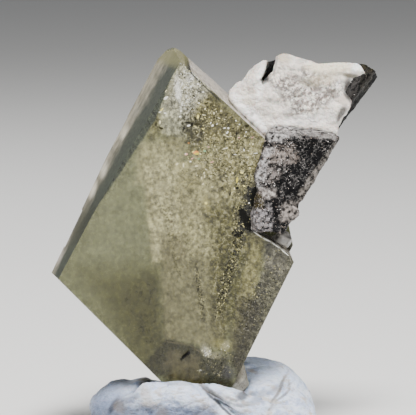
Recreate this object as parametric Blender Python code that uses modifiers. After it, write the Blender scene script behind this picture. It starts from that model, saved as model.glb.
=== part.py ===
"""Herderite crystal with two schorl crystals, standing in a lump of mounting putty.

The herderite is a thick lozenge-shaped block with flat faces. A short schorl prism sits in a
notch at its right corner and a longer one, half covered by a white albite crust, stands on its
upper right side. X is to the right, Y goes away from the viewer and Z is up. The origin is the
middle of the whole plan, on the table. Sizes are in millimetres until they meet MM.
"""
import math

import bmesh
import bpy
from mathutils import Matrix, Vector, noise

MM = 0.001
GAP = 0.3
WELD = 0.001

# Herderite block, with the corners of its front face
FRONT_TOP = Vector((-3.9, -8.4, 45.6))
FRONT_LEFT = Vector((-18.5, -8.6, 20.2))
FRONT_BOTTOM = Vector((-0.4, -5.8, 1.5))
FRONT_RIGHT = Vector((13.3, -5.8, 29.5))
BLOCK_MIDDLE = Vector((-4.0, -1.0, 24.0))
LEFT_RIDGE = Vector((-9.1, -1.0, 39.1))
BACK_LEFT_HIGH = Vector((-7.2, 6.5, 44.5))
BACK_LEFT_BEND = Vector((-11.9, 6.5, 35.7))
BACK_LEFT_LOW = Vector((-19.9, 6.5, 19.0))
BACK_TOP_SIDE = Vector((0.0, 6.5, 42.3))
BACK_LOW_SIDE = Vector((-19.9, 6.5, 18.9))
BACK_RIGHT_SIDE = Vector((4.3, 6.5, 15.5))
BACK_FACE = Vector((-6.0, 6.8, 27.0))
BACK_LEAN = Vector((-0.1, 0.993, 0.03))
BACK_BEVEL = Vector((2.6, 5.4, 18.0))
BACK_BEVEL_LEAN = Vector((0.42, 0.86, -0.28))
APEX = Vector((-5.0, 6.0, 45.9))
APEX_LEAN = Vector((-0.05, 0.3, 0.95))
CORNER_BREAK = Vector((7.4, 1.0, 30.5))
CORNER_BREAK_LEAN = Vector((0.96, 0.2, 0.2))
TIP_BREAK = Vector((-0.5, 0.0, 3.6))
TIP_BREAK_LEAN = Vector((0.25, 0.15, -0.95))

# Notch in the block's right corner that holds the short schorl, seen from the front
NOTCH_OUTLINE = [
    (6.3, 37.6), (5.5, 34.6), (4.6, 32.0), (5.1, 30.2), (4.3, 27.6), (4.4, 25.6),
    (5.7, 24.8), (6.6, 24.3), (7.7, 23.6), (8.9, 22.6), (9.6, 21.4), (17.0, 21.4), (17.0, 37.6),
]
NOTCH_DEPTH_Y = -1.5

# Growth ledges cut into the faces: face number, place, width, height, depth and turn in degrees
LEFT_OUTER = 2
BACK = 7
ALONG_SIDE = 26.6
ALONG_FOOT = 46.2
LEDGES = [
    (BACK, (-9.5, 6.0, 40.0), 12.0, 30.0, 0.6, ALONG_SIDE),
    (BACK, (-17.5, 6.0, 27.0), 9.0, 26.0, 1.1, ALONG_SIDE),
    (BACK, (4.5, 6.5, 20.0), 7.0, 24.0, 0.5, ALONG_SIDE),
    (BACK, (-12.0, 6.5, 10.8), 20.0, 6.0, 0.8, ALONG_FOOT),
    (LEFT_OUTER, (-17.2, 6.0, 24.6), 6.5, 5.0, 0.35, 0.0),
]

# Schorl prisms: a furrowed prism with a rounded three-sided section
FURROWS = 13
FURROW_DEPTH = 0.025
PRISM_SIDES = 52
LONG_AXIS = Vector((0.60, 0.0, 0.80))
LONG_MIDDLE = Vector((9.7, 2.5, 40.2))
LONG_HALF_WIDTH = 6.05
LONG_HALF_DEPTH = 4.0
LONG_HALF_LENGTH = 13.0
LONG_TURN = math.radians(90)
LONG_SINK = 1.2
LONG_ENDS = [
    (Vector((9.0, -1.5, 44.9)), Vector((0.05, -0.12, 0.99))),
    (Vector((15.0, 2.0, 44.8)), Vector((0.22, 0.28, 0.93))),
    (Vector((19.2, 2.0, 43.9)), Vector((0.75, 0.10, 0.64))),
]
SHORT_AXIS = Vector((0.46, 0.0, 0.888))
SHORT_MIDDLE = Vector((8.0, -4.9, 31.7))
SHORT_HALF_WIDTH = 4.15
SHORT_HALF_DEPTH = 3.2
SHORT_HALF_LENGTH = 9.0
SHORT_TURN = math.radians(-90)
SHORT_ENDS = [
    (Vector((9.5, -6.0, 37.0)), Vector((0.10, -0.10, 0.99))),
    (Vector((13.2, -3.0, 36.7)), Vector((0.28, 0.12, 0.95))),
    (Vector((7.0, -5.0, 25.4)), Vector((-0.10, 0.0, -0.99))),
    (Vector((11.2, -5.0, 30.4)), Vector((0.86, 0.0, -0.51))),
]

# Chips broken from the prisms: centre and half sizes
LONG_CHIPS = [
    ((19.4, -0.6, 42.6), (0.9, 1.1, 1.0)),
    ((17.6, 5.6, 44.6), (2.4, 1.6, 1.2)),
    ((10.2, 6.6, 45.0), (2.0, 1.3, 1.1)),
    ((12.2, 6.8, 33.4), (1.6, 1.2, 2.2)),
]
SHORT_CHIPS = [
    ((13.0, -8.0, 36.8), (1.5, 0.9, 0.6)),
    ((9.9, -6.6, 28.6), (0.8, 1.3, 0.9)),
    ((8.4, -8.3, 26.0), (1.3, 0.8, 0.9)),
    ((7.0, -8.0, 36.6), (0.9, 0.6, 0.7)),
]

# Albite crust on the long schorl, seen from the front, and the slot that shows the schorl
CRUST_OUTLINE = [
    (1.9, 41.2), (3.6, 42.7), (5.4, 44.6), (6.3, 45.3), (7.8, 45.7), (8.4, 45.9), (9.7, 45.6),
    (11.5, 45.3), (13.2, 45.0), (15.0, 45.2),
    (17.3, 44.9), (18.1, 43.7), (16.9, 43.7), (15.7, 42.8), (15.3, 41.4), (15.3, 40.8), (16.3, 40.4),
    (16.0, 39.6), (14.7, 38.1), (14.4, 36.2), (11.4, 35.4), (6.9, 35.4), (6.0, 35.4), (3.0, 38.0),
]
CRUST_SLOT = [
    (6.3, 47.5), (7.9, 47.5), (7.3, 45.2), (6.6, 43.6), (5.7, 42.2), (5.4, 43.0), (5.8, 44.6),
]
CRUST_NEAR = -3.4
CRUST_FAR = 3.2
CRUST_VOXEL = 0.55
CRUST_ROUGHNESS = 0.42
CRUST_GRAIN = 1.5

# Small pieces
GRAIN_MIDDLE = Vector((8.3, -4.6, 24.2))
GRAIN_SIZE = Vector((1.25, 1.5, 0.95))
CHIP_MIDDLE = Vector((2.6, -3.0, 7.4))
CHIP_SIZE = Vector((1.45, 1.8, 1.85))
NEEDLE_RADIUS = 0.2
NEEDLE_LENGTH = 1.1
NEEDLE_MIDDLE = Vector((-3.3, -6.75, 10.7))
NEEDLE_AXIS = Vector((0.72, -0.35, 0.60))

# Putty: soft lumps pressed together, as centre and half sizes
PUTTY_LUMPS = [
    # middle and half size of each kneaded lobe
    ((-1.6, -0.6, 0.6), (13.2, 10.4, 4.6)),
    ((-10.4, -1.6, 3.6), (5.1, 6.6, 2.9)),
    ((-6.6, -0.6, 3.4), (5.4, 6.4, 2.9)),
    ((4.3, 3.6, 1.6), (8.0, 7.4, 7.2)),
    ((6.6, -2.6, 1.6), (5.7, 6.2, 5.0)),
    ((-3.9, 5.6, 1.2), (7.6, 5.2, 4.4)),
    ((-3.0, -7.0, 0.6), (9.6, 4.6, 4.4)),
]
PUTTY_ROLLS = [
    # the front ridge and the rolled fold, as a place and a radius along each
    [
        (-12.1, -6.6, 3.6, 1.1), (-9.7, -7.8, 5.0, 1.25), (-7.3, -8.4, 5.9, 1.6), (-4.3, -8.8, 6.2, 1.7),
        (-2.0, -9.1, 5.8, 1.7), (-0.1, -9.3, 4.7, 1.6), (1.6, -9.2, 3.2, 1.6),
    ],
    [
        (-2.6, -7.6, 7.2, 0.5), (-0.7, -8.6, 7.0, 0.8), (1.0, -9.2, 6.3, 1.1), (3.1, -9.3, 5.3, 1.45),
        (5.4, -8.6, 4.2, 1.7), (7.8, -7.2, 3.3, 1.7), (9.3, -5.4, 2.6, 1.7),
    ],
]
ROLL_STEPS = 4
PUTTY_VOXEL = 0.82
PUTTY_DENTS = 0.22
CREASE_WIDTH = 0.75
PUTTY_CREASES = [
    # start, end and depth
    ((-12.8, -6.2, 4.6), (-6.6, -6.0, 7.0), 0.6),
    ((-1.8, -9.2, 7.3), (0.4, -10.4, 5.7), 0.9),
    ((0.4, -10.4, 5.7), (3.2, -10.6, 3.2), 1.1),
    ((4.0, -6.2, 7.2), (9.6, -6.6, 5.0), 0.5),
    ((8.6, -6.4, 4.6), (10.2, -3.4, 6.2), 0.35),
]
ORIGIN = Vector((0.08, -0.286, 0.0))


# Scene and helpers

def clear_scene():
    """Start from an empty file."""
    for item in list(bpy.data.objects):
        bpy.data.objects.remove(item, do_unlink=True)


def make_collection(name):
    """Return a new collection linked to the scene."""
    group = bpy.data.collections.new(name)
    bpy.context.scene.collection.children.link(group)
    return group


def make_material(name, colour, roughness, metallic=0.0):
    """Return a plain Principled material."""
    material = bpy.data.materials.new(name)
    material.use_nodes = True
    shader = material.node_tree.nodes["Principled BSDF"]
    shader.inputs["Base Color"].default_value = (*colour, 1.0)
    shader.inputs["Roughness"].default_value = roughness
    shader.inputs["Metallic"].default_value = metallic
    return material


def add_object(name, bm, group, material=None):
    """Turn a bmesh in millimetres into an object in metres, moved to the shared origin."""
    bmesh.ops.translate(bm, verts=bm.verts, vec=-ORIGIN)
    bmesh.ops.scale(bm, verts=bm.verts, vec=Vector((MM, MM, MM)))
    bmesh.ops.recalc_face_normals(bm, faces=bm.faces)
    mesh = bpy.data.meshes.new(name)
    bm.to_mesh(mesh)
    bm.free()
    if material:
        mesh.materials.append(material)
    item = bpy.data.objects.new(name, mesh)
    group.objects.link(item)
    return item


def add_cutter(name, bm):
    """A wire-drawn guide for a Boolean, left out of the model."""
    cutter = add_object(name, bm, CUTTERS)
    cutter.hide_render = True
    cutter.display_type = "WIRE"
    return cutter


def boolean(item, cutter, operation="DIFFERENCE"):
    """Cut, join or intersect one object with another."""
    step = item.modifiers.new(cutter.name, "BOOLEAN")
    step.operation = operation
    step.solver = "EXACT"
    step.object = cutter


def evaluated_bmesh(item):
    """Read an object's evaluated mesh back, in millimetres."""
    graph = bpy.context.evaluated_depsgraph_get()
    mesh = bpy.data.meshes.new_from_object(item.evaluated_get(graph))
    bm = bmesh.new()
    bm.from_mesh(mesh)
    bmesh.ops.transform(bm, verts=bm.verts, matrix=item.matrix_world)
    bmesh.ops.scale(bm, verts=bm.verts, vec=Vector((1 / MM, 1 / MM, 1 / MM)))
    bmesh.ops.translate(bm, verts=bm.verts, vec=ORIGIN)
    bmesh.ops.remove_doubles(bm, verts=bm.verts, dist=WELD)
    bpy.data.meshes.remove(mesh)
    return bm


def keep_largest(bm):
    """Drop the crumbs that a cut leaves loose beside the largest body."""
    waiting = set(bm.verts)
    bodies = []
    while waiting:
        front = [waiting.pop()]
        body = list(front)
        while front:
            near = [edge.other_vert(vert) for vert in front for edge in vert.link_edges]
            front = [vert for vert in set(near) if vert in waiting]
            waiting.difference_update(front)
            body.extend(front)
        bodies.append(body)
    bodies.sort(key=len)
    for crumb in bodies[:-1]:
        bmesh.ops.delete(bm, geom=crumb, context="VERTS")
    return bm


def trim(bm, point, outward):
    """Cut a convex solid by a plane and close it with a flat face."""
    parts = bm.verts[:] + bm.edges[:] + bm.faces[:]
    bmesh.ops.bisect_plane(bm, geom=parts, dist=1e-6, plane_co=point, plane_no=outward, clear_outer=True)
    bmesh.ops.holes_fill(bm, edges=[edge for edge in bm.edges if edge.is_boundary])


def facing_out(point_a, point_b, point_c):
    """The plane through three points of the block, as a point and its outward direction."""
    normal = (point_b - point_a).cross(point_c - point_a).normalized()
    if normal.dot(BLOCK_MIDDLE - point_a) > 0:
        normal = -normal
    return point_a, normal


def plate(outline, near, far):
    """A flat outline in the X-Z plane, solid between two depths."""
    curve = bpy.data.curves.new("outline", "CURVE")
    curve.dimensions = "2D"
    curve.fill_mode = "BOTH"
    curve.extrude = (far - near) / 2
    line = curve.splines.new("POLY")
    line.points.add(len(outline) - 1)
    for point, (x, z) in zip(line.points, outline):
        point.co = (x, z, 0.0, 1.0)
    line.use_cyclic_u = True
    guide = bpy.data.objects.new("outline", curve)
    CUTTERS.objects.link(guide)
    graph = bpy.context.evaluated_depsgraph_get()
    mesh = bpy.data.meshes.new_from_object(guide.evaluated_get(graph))
    bm = bmesh.new()
    bm.from_mesh(mesh)
    upright = Matrix.Translation((0, (near + far) / 2, 0)) @ Matrix.Rotation(math.pi / 2, 4, "X")
    bmesh.ops.transform(bm, verts=bm.verts, matrix=upright)
    bmesh.ops.remove_doubles(bm, verts=bm.verts, dist=WELD)
    bpy.data.objects.remove(guide)
    bpy.data.meshes.remove(mesh)
    return bm


def inset_outline(outline, distance):
    """Move each side of a closed outline by a distance, positive towards the right of travel."""
    moved = []
    count = len(outline)
    for index in range(count):
        before = Vector(outline[index - 1])
        here = Vector(outline[index])
        after = Vector(outline[(index + 1) % count])
        side_in = (here - before).normalized()
        side_out = (after - here).normalized()
        normal_in = Vector((side_in.y, -side_in.x))
        normal_out = Vector((side_out.y, -side_out.x))
        corner = (normal_in + normal_out).normalized()
        reach = distance / max(corner.dot(normal_in), 0.4)
        moved.append(tuple(here + corner * reach))
    return moved


def soften(bm, rounds):
    """Relax the steps that a voxel remesh leaves."""
    for _ in range(rounds):
        bmesh.ops.smooth_vert(
            bm, verts=bm.verts, factor=0.5, use_axis_x=True, use_axis_y=True, use_axis_z=True,
        )
    bm.normal_update()


def rough(point, size, seed):
    """Smooth noise from -1 to 1 at a place in the model."""
    return noise.noise((point + Vector((seed, 2.7 * seed, -seed))) / size)


# Herderite

def block_faces():
    """The natural faces and broken faces of the herderite block."""
    return [
        facing_out(FRONT_TOP, FRONT_LEFT, FRONT_BOTTOM),
        facing_out(FRONT_TOP, FRONT_LEFT, LEFT_RIDGE),
        facing_out(FRONT_LEFT, BACK_LEFT_BEND, BACK_LEFT_LOW),
        facing_out(LEFT_RIDGE, BACK_LEFT_HIGH, BACK_LEFT_BEND),
        facing_out(FRONT_TOP, FRONT_RIGHT, BACK_TOP_SIDE),
        facing_out(FRONT_LEFT, FRONT_BOTTOM, BACK_LOW_SIDE),
        facing_out(FRONT_RIGHT, FRONT_BOTTOM, BACK_RIGHT_SIDE),
        (BACK_FACE, BACK_LEAN.normalized()),
        (BACK_BEVEL, BACK_BEVEL_LEAN.normalized()),
        (APEX, APEX_LEAN.normalized()),
        (CORNER_BREAK, CORNER_BREAK_LEAN.normalized()),
        (TIP_BREAK, TIP_BREAK_LEAN.normalized()),
    ]


def block(grow=0.0):
    """The lozenge block, or the same block grown evenly for a clearance."""
    bm = bmesh.new()
    bmesh.ops.create_cube(bm, size=120.0)
    for point, outward in block_faces():
        trim(bm, point + outward * grow, outward)
    return bm


def ledge_cutter(face, place, width, height, depth, degrees):
    """A box lying on a face of the block, sunk by the depth of one growth ledge."""
    point, outward = block_faces()[face]
    place = Vector(place)
    place -= outward * (place - point).dot(outward)
    across = Vector((0, 0, 1)).cross(outward).normalized()
    upward = outward.cross(across)
    frame = Matrix((across, upward, outward)).transposed().to_4x4()
    turn = Matrix.Rotation(math.radians(degrees), 4, "Z")
    bm = bmesh.new()
    bmesh.ops.create_cube(bm, size=1.0)
    bmesh.ops.scale(bm, verts=bm.verts, vec=Vector((width, height, 2 * depth)))
    bmesh.ops.transform(bm, verts=bm.verts, matrix=Matrix.Translation(place) @ frame @ turn)
    return bm


def build_herderite():
    """The block with its notch, its socket for the long schorl and its growth ledges."""
    stone = make_material("herderite", (0.46, 0.45, 0.30), 0.25)
    crystal = add_object("herderite_crystal", block(), MODEL, stone)
    boolean(crystal, add_cutter("notch", plate(NOTCH_OUTLINE, -14.0, NOTCH_DEPTH_Y)))
    boolean(crystal, add_cutter("long_schorl_socket", long_prism(GAP)))
    boolean(crystal, add_cutter("needle_pocket", needle(GAP)))
    for number, ledge in enumerate(LEDGES):
        boolean(crystal, add_cutter(f"ledge_{number}", ledge_cutter(*ledge)))
    return crystal


# Schorl

def prism(middle, axis, half_width, half_depth, half_length, turn, grow):
    """A furrowed prism along an axis, its section a rounded triangle stretched to two half sizes."""
    bm = bmesh.new()
    bmesh.ops.create_cone(
        bm, cap_ends=True, segments=PRISM_SIDES, radius1=1.0, radius2=1.0, depth=2 * half_length,
    )
    for vert in bm.verts:
        angle = math.atan2(vert.co.y, vert.co.x)
        three_sided = 1 + 0.09 * math.cos(3 * (angle + turn))
        furrow = FURROW_DEPTH * math.sin(FURROWS * angle + 1.3 * math.sin(2 * angle))
        reach = three_sided + furrow
        vert.co.x = (half_width * reach + grow) * math.cos(angle)
        vert.co.y = (half_depth * reach + grow) * math.sin(angle)
    axis = axis.normalized()
    across = Vector((0, 1, 0)).cross(axis).normalized()
    frame = Matrix((across, Vector((0, 1, 0)), axis)).transposed().to_4x4()
    bmesh.ops.transform(bm, verts=bm.verts, matrix=Matrix.Translation(middle) @ frame)
    return bm


def long_prism(grow=0.0):
    """The long schorl, ending a little way inside the herderite's upper right side."""
    bm = prism(
        LONG_MIDDLE, LONG_AXIS, LONG_HALF_WIDTH, LONG_HALF_DEPTH, LONG_HALF_LENGTH, LONG_TURN, grow,
    )
    for point, outward in LONG_ENDS:
        direction = outward.normalized()
        trim(bm, point + direction * grow, direction)
    side_point, side_outward = facing_out(FRONT_TOP, FRONT_RIGHT, BACK_TOP_SIDE)
    trim(bm, side_point - side_outward * (LONG_SINK + grow), -side_outward)
    trim(bm, Vector((0, NOTCH_DEPTH_Y + 0.15 - grow, 0)), Vector((0, -1, 0)))
    return bm


def short_prism(grow=0.0):
    """The short schorl, before it is fitted to the notch."""
    bm = prism(
        SHORT_MIDDLE, SHORT_AXIS, SHORT_HALF_WIDTH, SHORT_HALF_DEPTH, SHORT_HALF_LENGTH, SHORT_TURN, grow,
    )
    for point, outward in SHORT_ENDS:
        direction = outward.normalized()
        trim(bm, point + direction * grow, direction)
    trim(bm, Vector((0, NOTCH_DEPTH_Y - GAP + grow, 0)), Vector((0, 1, 0)))
    return bm


def needle(grow=0.0):
    """The tiny six-sided schorl set in the front face."""
    bm = bmesh.new()
    radius = NEEDLE_RADIUS + grow
    length = NEEDLE_LENGTH + 2 * grow
    bmesh.ops.create_cone(bm, cap_ends=True, segments=6, radius1=radius, radius2=radius, depth=length)
    turn = NEEDLE_AXIS.to_track_quat("Z", "Y").to_matrix().to_4x4()
    bmesh.ops.transform(bm, verts=bm.verts, matrix=Matrix.Translation(NEEDLE_MIDDLE) @ turn)
    return bm


def build_schorl():
    """Both large prisms and the needle."""
    black = make_material("schorl", (0.012, 0.012, 0.014), 0.35)
    long = add_object("schorl_long", long_prism(), MODEL, black)
    for number, (centre, half_size) in enumerate(LONG_CHIPS):
        boolean(long, add_cutter(f"long_chip_{number}", pebble(centre, half_size, 12, number)))
    short = add_object("schorl_short", short_prism(), MODEL, black)
    for number, (centre, half_size) in enumerate(SHORT_CHIPS):
        boolean(short, add_cutter(f"short_chip_{number}", pebble(centre, half_size, 12, number)))
    inner = inset_outline(NOTCH_OUTLINE, -GAP)
    boolean(short, add_cutter("notch_fit", plate(inner, -14.0, 2.0)), "INTERSECT")
    add_object("schorl_needle", needle(), MODEL, black)


# Albite crust

def build_crust():
    """A lumpy sugary crust over the long schorl's face and upper edge."""
    albite = make_material("albite", (0.78, 0.74, 0.69), 0.7)
    blank = add_object("crust_blank", plate(CRUST_OUTLINE, CRUST_NEAR, CRUST_FAR), CUTTERS)
    remesh = blank.modifiers.new("voxels", "REMESH")
    remesh.mode = "VOXEL"
    remesh.voxel_size = CRUST_VOXEL * MM
    bm = evaluated_bmesh(blank)
    bpy.data.objects.remove(blank)
    soften(bm, 2)
    for vert in bm.verts:
        lumps = rough(vert.co, CRUST_GRAIN, 3.0) + 0.5 * rough(vert.co, CRUST_GRAIN / 2, 9.0)
        vert.co += vert.normal * CRUST_ROUGHNESS * lumps
    side_point, side_outward = facing_out(FRONT_TOP, FRONT_RIGHT, BACK_TOP_SIDE)
    trim(bm, side_point + side_outward * GAP, -side_outward)
    bmesh.ops.triangulate(bm, faces=bm.faces)
    fitted = add_object("crust_fitted", bm, CUTTERS)
    boolean(fitted, add_cutter("crust_seat", long_prism(GAP)))
    boolean(fitted, add_cutter("crust_foot", short_prism(GAP)))
    boolean(fitted, add_cutter("crust_slot", plate(CRUST_SLOT, -8.0, 8.0)))
    add_object("albite_crust", keep_largest(evaluated_bmesh(fitted)), MODEL, albite)
    bpy.data.objects.remove(fitted)


# Small pieces

def pebble(middle, size, facets, seed):
    """A small broken grain: an icosphere pressed flat on some sides."""
    bm = bmesh.new()
    bmesh.ops.create_icosphere(bm, subdivisions=3, radius=1.0)
    for number in range(facets):
        turn = 2.4 * number + seed
        height = 1 - 2 * (number + 0.5) / facets
        ring = math.sqrt(1 - height * height)
        outward = Vector((ring * math.cos(turn), ring * math.sin(turn), height))
        trim(bm, outward * (0.84 + 0.05 * math.sin(5 * number + seed)), outward)
    bmesh.ops.scale(bm, verts=bm.verts, vec=Vector(size))
    bmesh.ops.translate(bm, verts=bm.verts, vec=Vector(middle))
    return bm


def build_small_pieces():
    """The grey grain under the short schorl and the matrix chip beside the block's foot."""
    quartz = make_material("quartz", (0.52, 0.51, 0.49), 0.2)
    rock = make_material("matrix", (0.40, 0.35, 0.27), 0.8)
    grain = add_object("quartz_grain", pebble(GRAIN_MIDDLE, GRAIN_SIZE, 14, 0.6), MODEL, quartz)
    boolean(grain, add_cutter("grain_top", short_prism(GAP)))
    inner = inset_outline(NOTCH_OUTLINE, -GAP)
    boolean(grain, add_cutter("grain_fit", plate(inner, -14.0, NOTCH_DEPTH_Y - GAP)), "INTERSECT")
    chip = pebble(CHIP_MIDDLE, CHIP_SIZE, 16, 1.9)
    side_point, side_outward = facing_out(FRONT_RIGHT, FRONT_BOTTOM, BACK_RIGHT_SIDE)
    trim(chip, side_point + side_outward * GAP, -side_outward)
    add_object("matrix_chip", chip, MODEL, rock)


# Putty

def add_roll(bm, roll):
    """Lay round beads of putty along a roll, close enough to melt into one fold."""
    for (*start, thin), (*end, thick) in zip(roll, roll[1:]):
        for step in range(ROLL_STEPS + 1):
            share = step / ROLL_STEPS
            place = Vector(start).lerp(Vector(end), share)
            radius = thin + (thick - thin) * share
            bmesh.ops.create_icosphere(
                bm, subdivisions=2, radius=radius, matrix=Matrix.Translation(place),
            )


def distance_to_line(point, start, end):
    """How far a point is from a straight crease."""
    along = end - start
    share = max(0.0, min(1.0, (point - start).dot(along) / along.length_squared))
    return (point - start - along * share).length


def build_putty():
    """The lump of putty with its rolls, its creases, a flat base and a socket for the crystal."""
    grey_blue = make_material("putty", (0.60, 0.66, 0.75), 0.6)
    lobes = bmesh.new()
    for centre, half_size in PUTTY_LUMPS:
        shape = Matrix.LocRotScale(Vector(centre), None, Vector(half_size))
        bmesh.ops.create_uvsphere(lobes, u_segments=32, v_segments=20, radius=1.0, matrix=shape)
    for roll in PUTTY_ROLLS:
        add_roll(lobes, roll)
    blank = add_object("putty_blank", lobes, CUTTERS)
    remesh = blank.modifiers.new("voxels", "REMESH")
    remesh.mode = "VOXEL"
    remesh.voxel_size = PUTTY_VOXEL * MM
    bm = keep_largest(evaluated_bmesh(blank))
    bpy.data.objects.remove(blank)
    soften(bm, 3)
    for vert in bm.verts:
        depth = PUTTY_DENTS * rough(vert.co, 3.2, 5.0)
        for start, end, crease_depth in PUTTY_CREASES:
            away = distance_to_line(vert.co, Vector(start), Vector(end))
            depth -= crease_depth * math.exp(-(away / CREASE_WIDTH) ** 2)
        vert.co += vert.normal * depth
    trim(bm, Vector((0, 0, 0)), Vector((0, 0, -1)))
    putty = add_object("putty_stand", bm, MODEL, grey_blue)
    boolean(putty, add_cutter("crystal_socket", block(GAP)))
    boolean(putty, add_cutter("chip_socket", pebble(CHIP_MIDDLE, CHIP_SIZE + Vector((GAP,) * 3), 16, 1.9)))


clear_scene()
MODEL = make_collection("herderite_with_schorl")
CUTTERS = make_collection("cutters")
build_herderite()
build_schorl()
build_crust()
build_small_pieces()
build_putty()
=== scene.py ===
import math
import random

import bmesh
import bpy
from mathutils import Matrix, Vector, noise
from mathutils.bvhtree import BVHTree


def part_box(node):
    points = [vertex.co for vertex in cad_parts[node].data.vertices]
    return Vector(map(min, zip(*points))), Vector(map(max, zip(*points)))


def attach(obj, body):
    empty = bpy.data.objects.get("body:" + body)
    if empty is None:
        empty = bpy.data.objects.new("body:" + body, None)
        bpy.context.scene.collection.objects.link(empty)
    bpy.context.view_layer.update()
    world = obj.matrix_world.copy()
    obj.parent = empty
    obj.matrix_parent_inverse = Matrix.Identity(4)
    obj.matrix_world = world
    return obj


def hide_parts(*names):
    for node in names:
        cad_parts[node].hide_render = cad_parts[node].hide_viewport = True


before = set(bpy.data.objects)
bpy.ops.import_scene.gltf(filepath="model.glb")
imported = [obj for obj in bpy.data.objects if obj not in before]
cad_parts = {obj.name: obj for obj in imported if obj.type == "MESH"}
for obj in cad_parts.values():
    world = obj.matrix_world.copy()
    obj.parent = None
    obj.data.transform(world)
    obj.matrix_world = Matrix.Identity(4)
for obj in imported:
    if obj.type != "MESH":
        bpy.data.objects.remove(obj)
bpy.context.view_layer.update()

MM = 0.001

# The picture's frame, and the camera that stands where the photographer stood
PICTURE_WIDTH = 416
PICTURE_HEIGHT = 415
PIXEL = 0.12 * MM
VIEW_DISTANCE = 400 * MM
VIEW_TILT = math.radians(6)
VIEW_CENTRE = Vector((-0.80, 0.286, 27.54)) * MM
SENSOR_WIDTH = 36.0

# Depth of the herderite's front face and of its left side's middle, from the CAD
FRONT_DEPTH = -7.0 * MM
SIDE_DEPTH = 4.0 * MM

# How far a skin swells: in full this near to a neighbour, then less over the fade, in millimetres
GROW = 0.32 * MM
GROW_NEAR = 0.5
GROW_FADE = 0.7
LEAST_GROWTH = 0.12

# Sides of the small faces of each skin
SHORT_PRISM_VOXEL = 0.14 * MM
LONG_PRISM_VOXEL = 0.18 * MM
CRUST_VOXEL = 0.13 * MM
PUTTY_VOXEL = 0.2 * MM

# The flecks' height off the front face, and the flat foot of the putty, which stays as it is
FLECK_PROUD = 0.012 * MM
GLINT_STEP = 0.0002 * MM
PUTTY_FOOT = 0.3 * MM

# The crystal's softened edges, and the clearance round the needle that is closed
SOFT_EDGE = 0.05 * MM
POCKET_REACH = 1.1 * MM

# The crust's slot leans this far to the right, and the quartz grain shrinks about its place
SLOT_SHIFT = 0.5 * MM
GRAIN_SHRINK = 0.9


# Camera, floor and light

def camera_place():
    """The camera's place and its three axes."""
    forward = Vector((0, math.cos(VIEW_TILT), -math.sin(VIEW_TILT)))
    upward = Vector((0, math.sin(VIEW_TILT), math.cos(VIEW_TILT)))
    return VIEW_CENTRE - forward * VIEW_DISTANCE, forward, upward


def seen_at(px, py, depth=FRONT_DEPTH):
    """The model's point under a pixel of the picture, at a depth along Y."""
    place, forward, upward = camera_place()
    ray = forward * VIEW_DISTANCE
    ray += Vector((1, 0, 0)) * (px - PICTURE_WIDTH / 2) * PIXEL
    ray += upward * (PICTURE_HEIGHT / 2 - py) * PIXEL
    return place + ray * ((depth - place.y) / ray.y)


def pixel_of(point):
    """The pixel of the picture in which a point of the model is seen."""
    place, forward, upward = camera_place()
    ray = point - place
    share = VIEW_DISTANCE / ray.dot(forward) / PIXEL
    return PICTURE_WIDTH / 2 + ray.x * share, PICTURE_HEIGHT / 2 - ray.dot(upward) * share


def make_camera():
    """A long lens at the photograph's angle."""
    data = bpy.data.cameras.new("camera")
    data.sensor_width = SENSOR_WIDTH
    data.lens = SENSOR_WIDTH * VIEW_DISTANCE / (PICTURE_WIDTH * PIXEL)
    data.clip_start = 0.01
    camera = bpy.data.objects.new("camera", data)
    camera.location = camera_place()[0]
    camera.rotation_euler = (math.pi / 2 - VIEW_TILT, 0, 0)
    bpy.context.scene.collection.objects.link(camera)
    bpy.context.scene.camera = camera


def make_lamp(name, place, size, power, colour=(1, 1, 1)):
    """A soft square lamp that looks at the specimen."""
    data = bpy.data.lights.new(name, "AREA")
    data.size = size
    data.energy = power
    data.color = colour
    lamp = bpy.data.objects.new(name, data)
    lamp.location = place
    lamp.rotation_euler = (Vector(place) - VIEW_CENTRE).to_track_quat("Z", "Y").to_euler()
    bpy.context.scene.collection.objects.link(lamp)


def make_studio():
    """A pale floor, an even sky and three soft lamps."""
    floor_material = plain_material("floor", (0.78, 0.78, 0.77), 0.8)
    bm = bmesh.new()
    bmesh.ops.create_grid(bm, x_segments=2, y_segments=2, size=6.0)
    floor = add_mesh("floor", bm, [floor_material])
    world = bpy.data.worlds.new("studio")
    world.use_nodes = True
    world.node_tree.nodes["Background"].inputs["Color"].default_value = (0.95, 0.97, 1.0, 1)
    world.node_tree.nodes["Background"].inputs["Strength"].default_value = 0.20
    bpy.context.scene.world = world
    make_lamp("key", (0.02, -0.27, 0.50), 0.18, 7.5, (1.0, 0.98, 0.95))
    make_lamp("fill", (0.34, -0.34, 0.16), 0.30, 0.7, (0.95, 0.97, 1.0))
    make_lamp("rim", (-0.30, 0.30, 0.30), 0.18, 0.9, (1.0, 1.0, 1.0))


# Node helpers

def srgb(red, green, blue):
    """A screen colour of 0 to 255 as a linear colour with alpha."""
    linear = []
    for value in (red, green, blue):
        share = value / 255
        linear.append(share / 12.92 if share <= 0.04045 else ((share + 0.055) / 1.055) ** 2.4)
    return (*linear, 1.0)


def node(tree, kind, settings=None, inputs=None):
    """Add a node, set its options and fill or link its inputs by name or number."""
    item = tree.nodes.new(kind)
    for key, value in (settings or {}).items():
        setattr(item, key, value)
    for key, value in (inputs or {}).items():
        if isinstance(value, bpy.types.NodeSocket):
            tree.links.new(value, item.inputs[key])
        else:
            item.inputs[key].default_value = value
    return item


def calculate(tree, operation, first, second=0.0):
    """One Math node's result."""
    return node(tree, "ShaderNodeMath", {"operation": operation}, {0: first, 1: second}).outputs[0]


def vector_step(tree, operation, first, second=(0, 0, 0)):
    """One Vector Math node's result."""
    step = node(tree, "ShaderNodeVectorMath", {"operation": operation}, {0: first, 1: second})
    return step.outputs["Value" if operation in ("LENGTH", "DOT_PRODUCT") else "Vector"]


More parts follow.
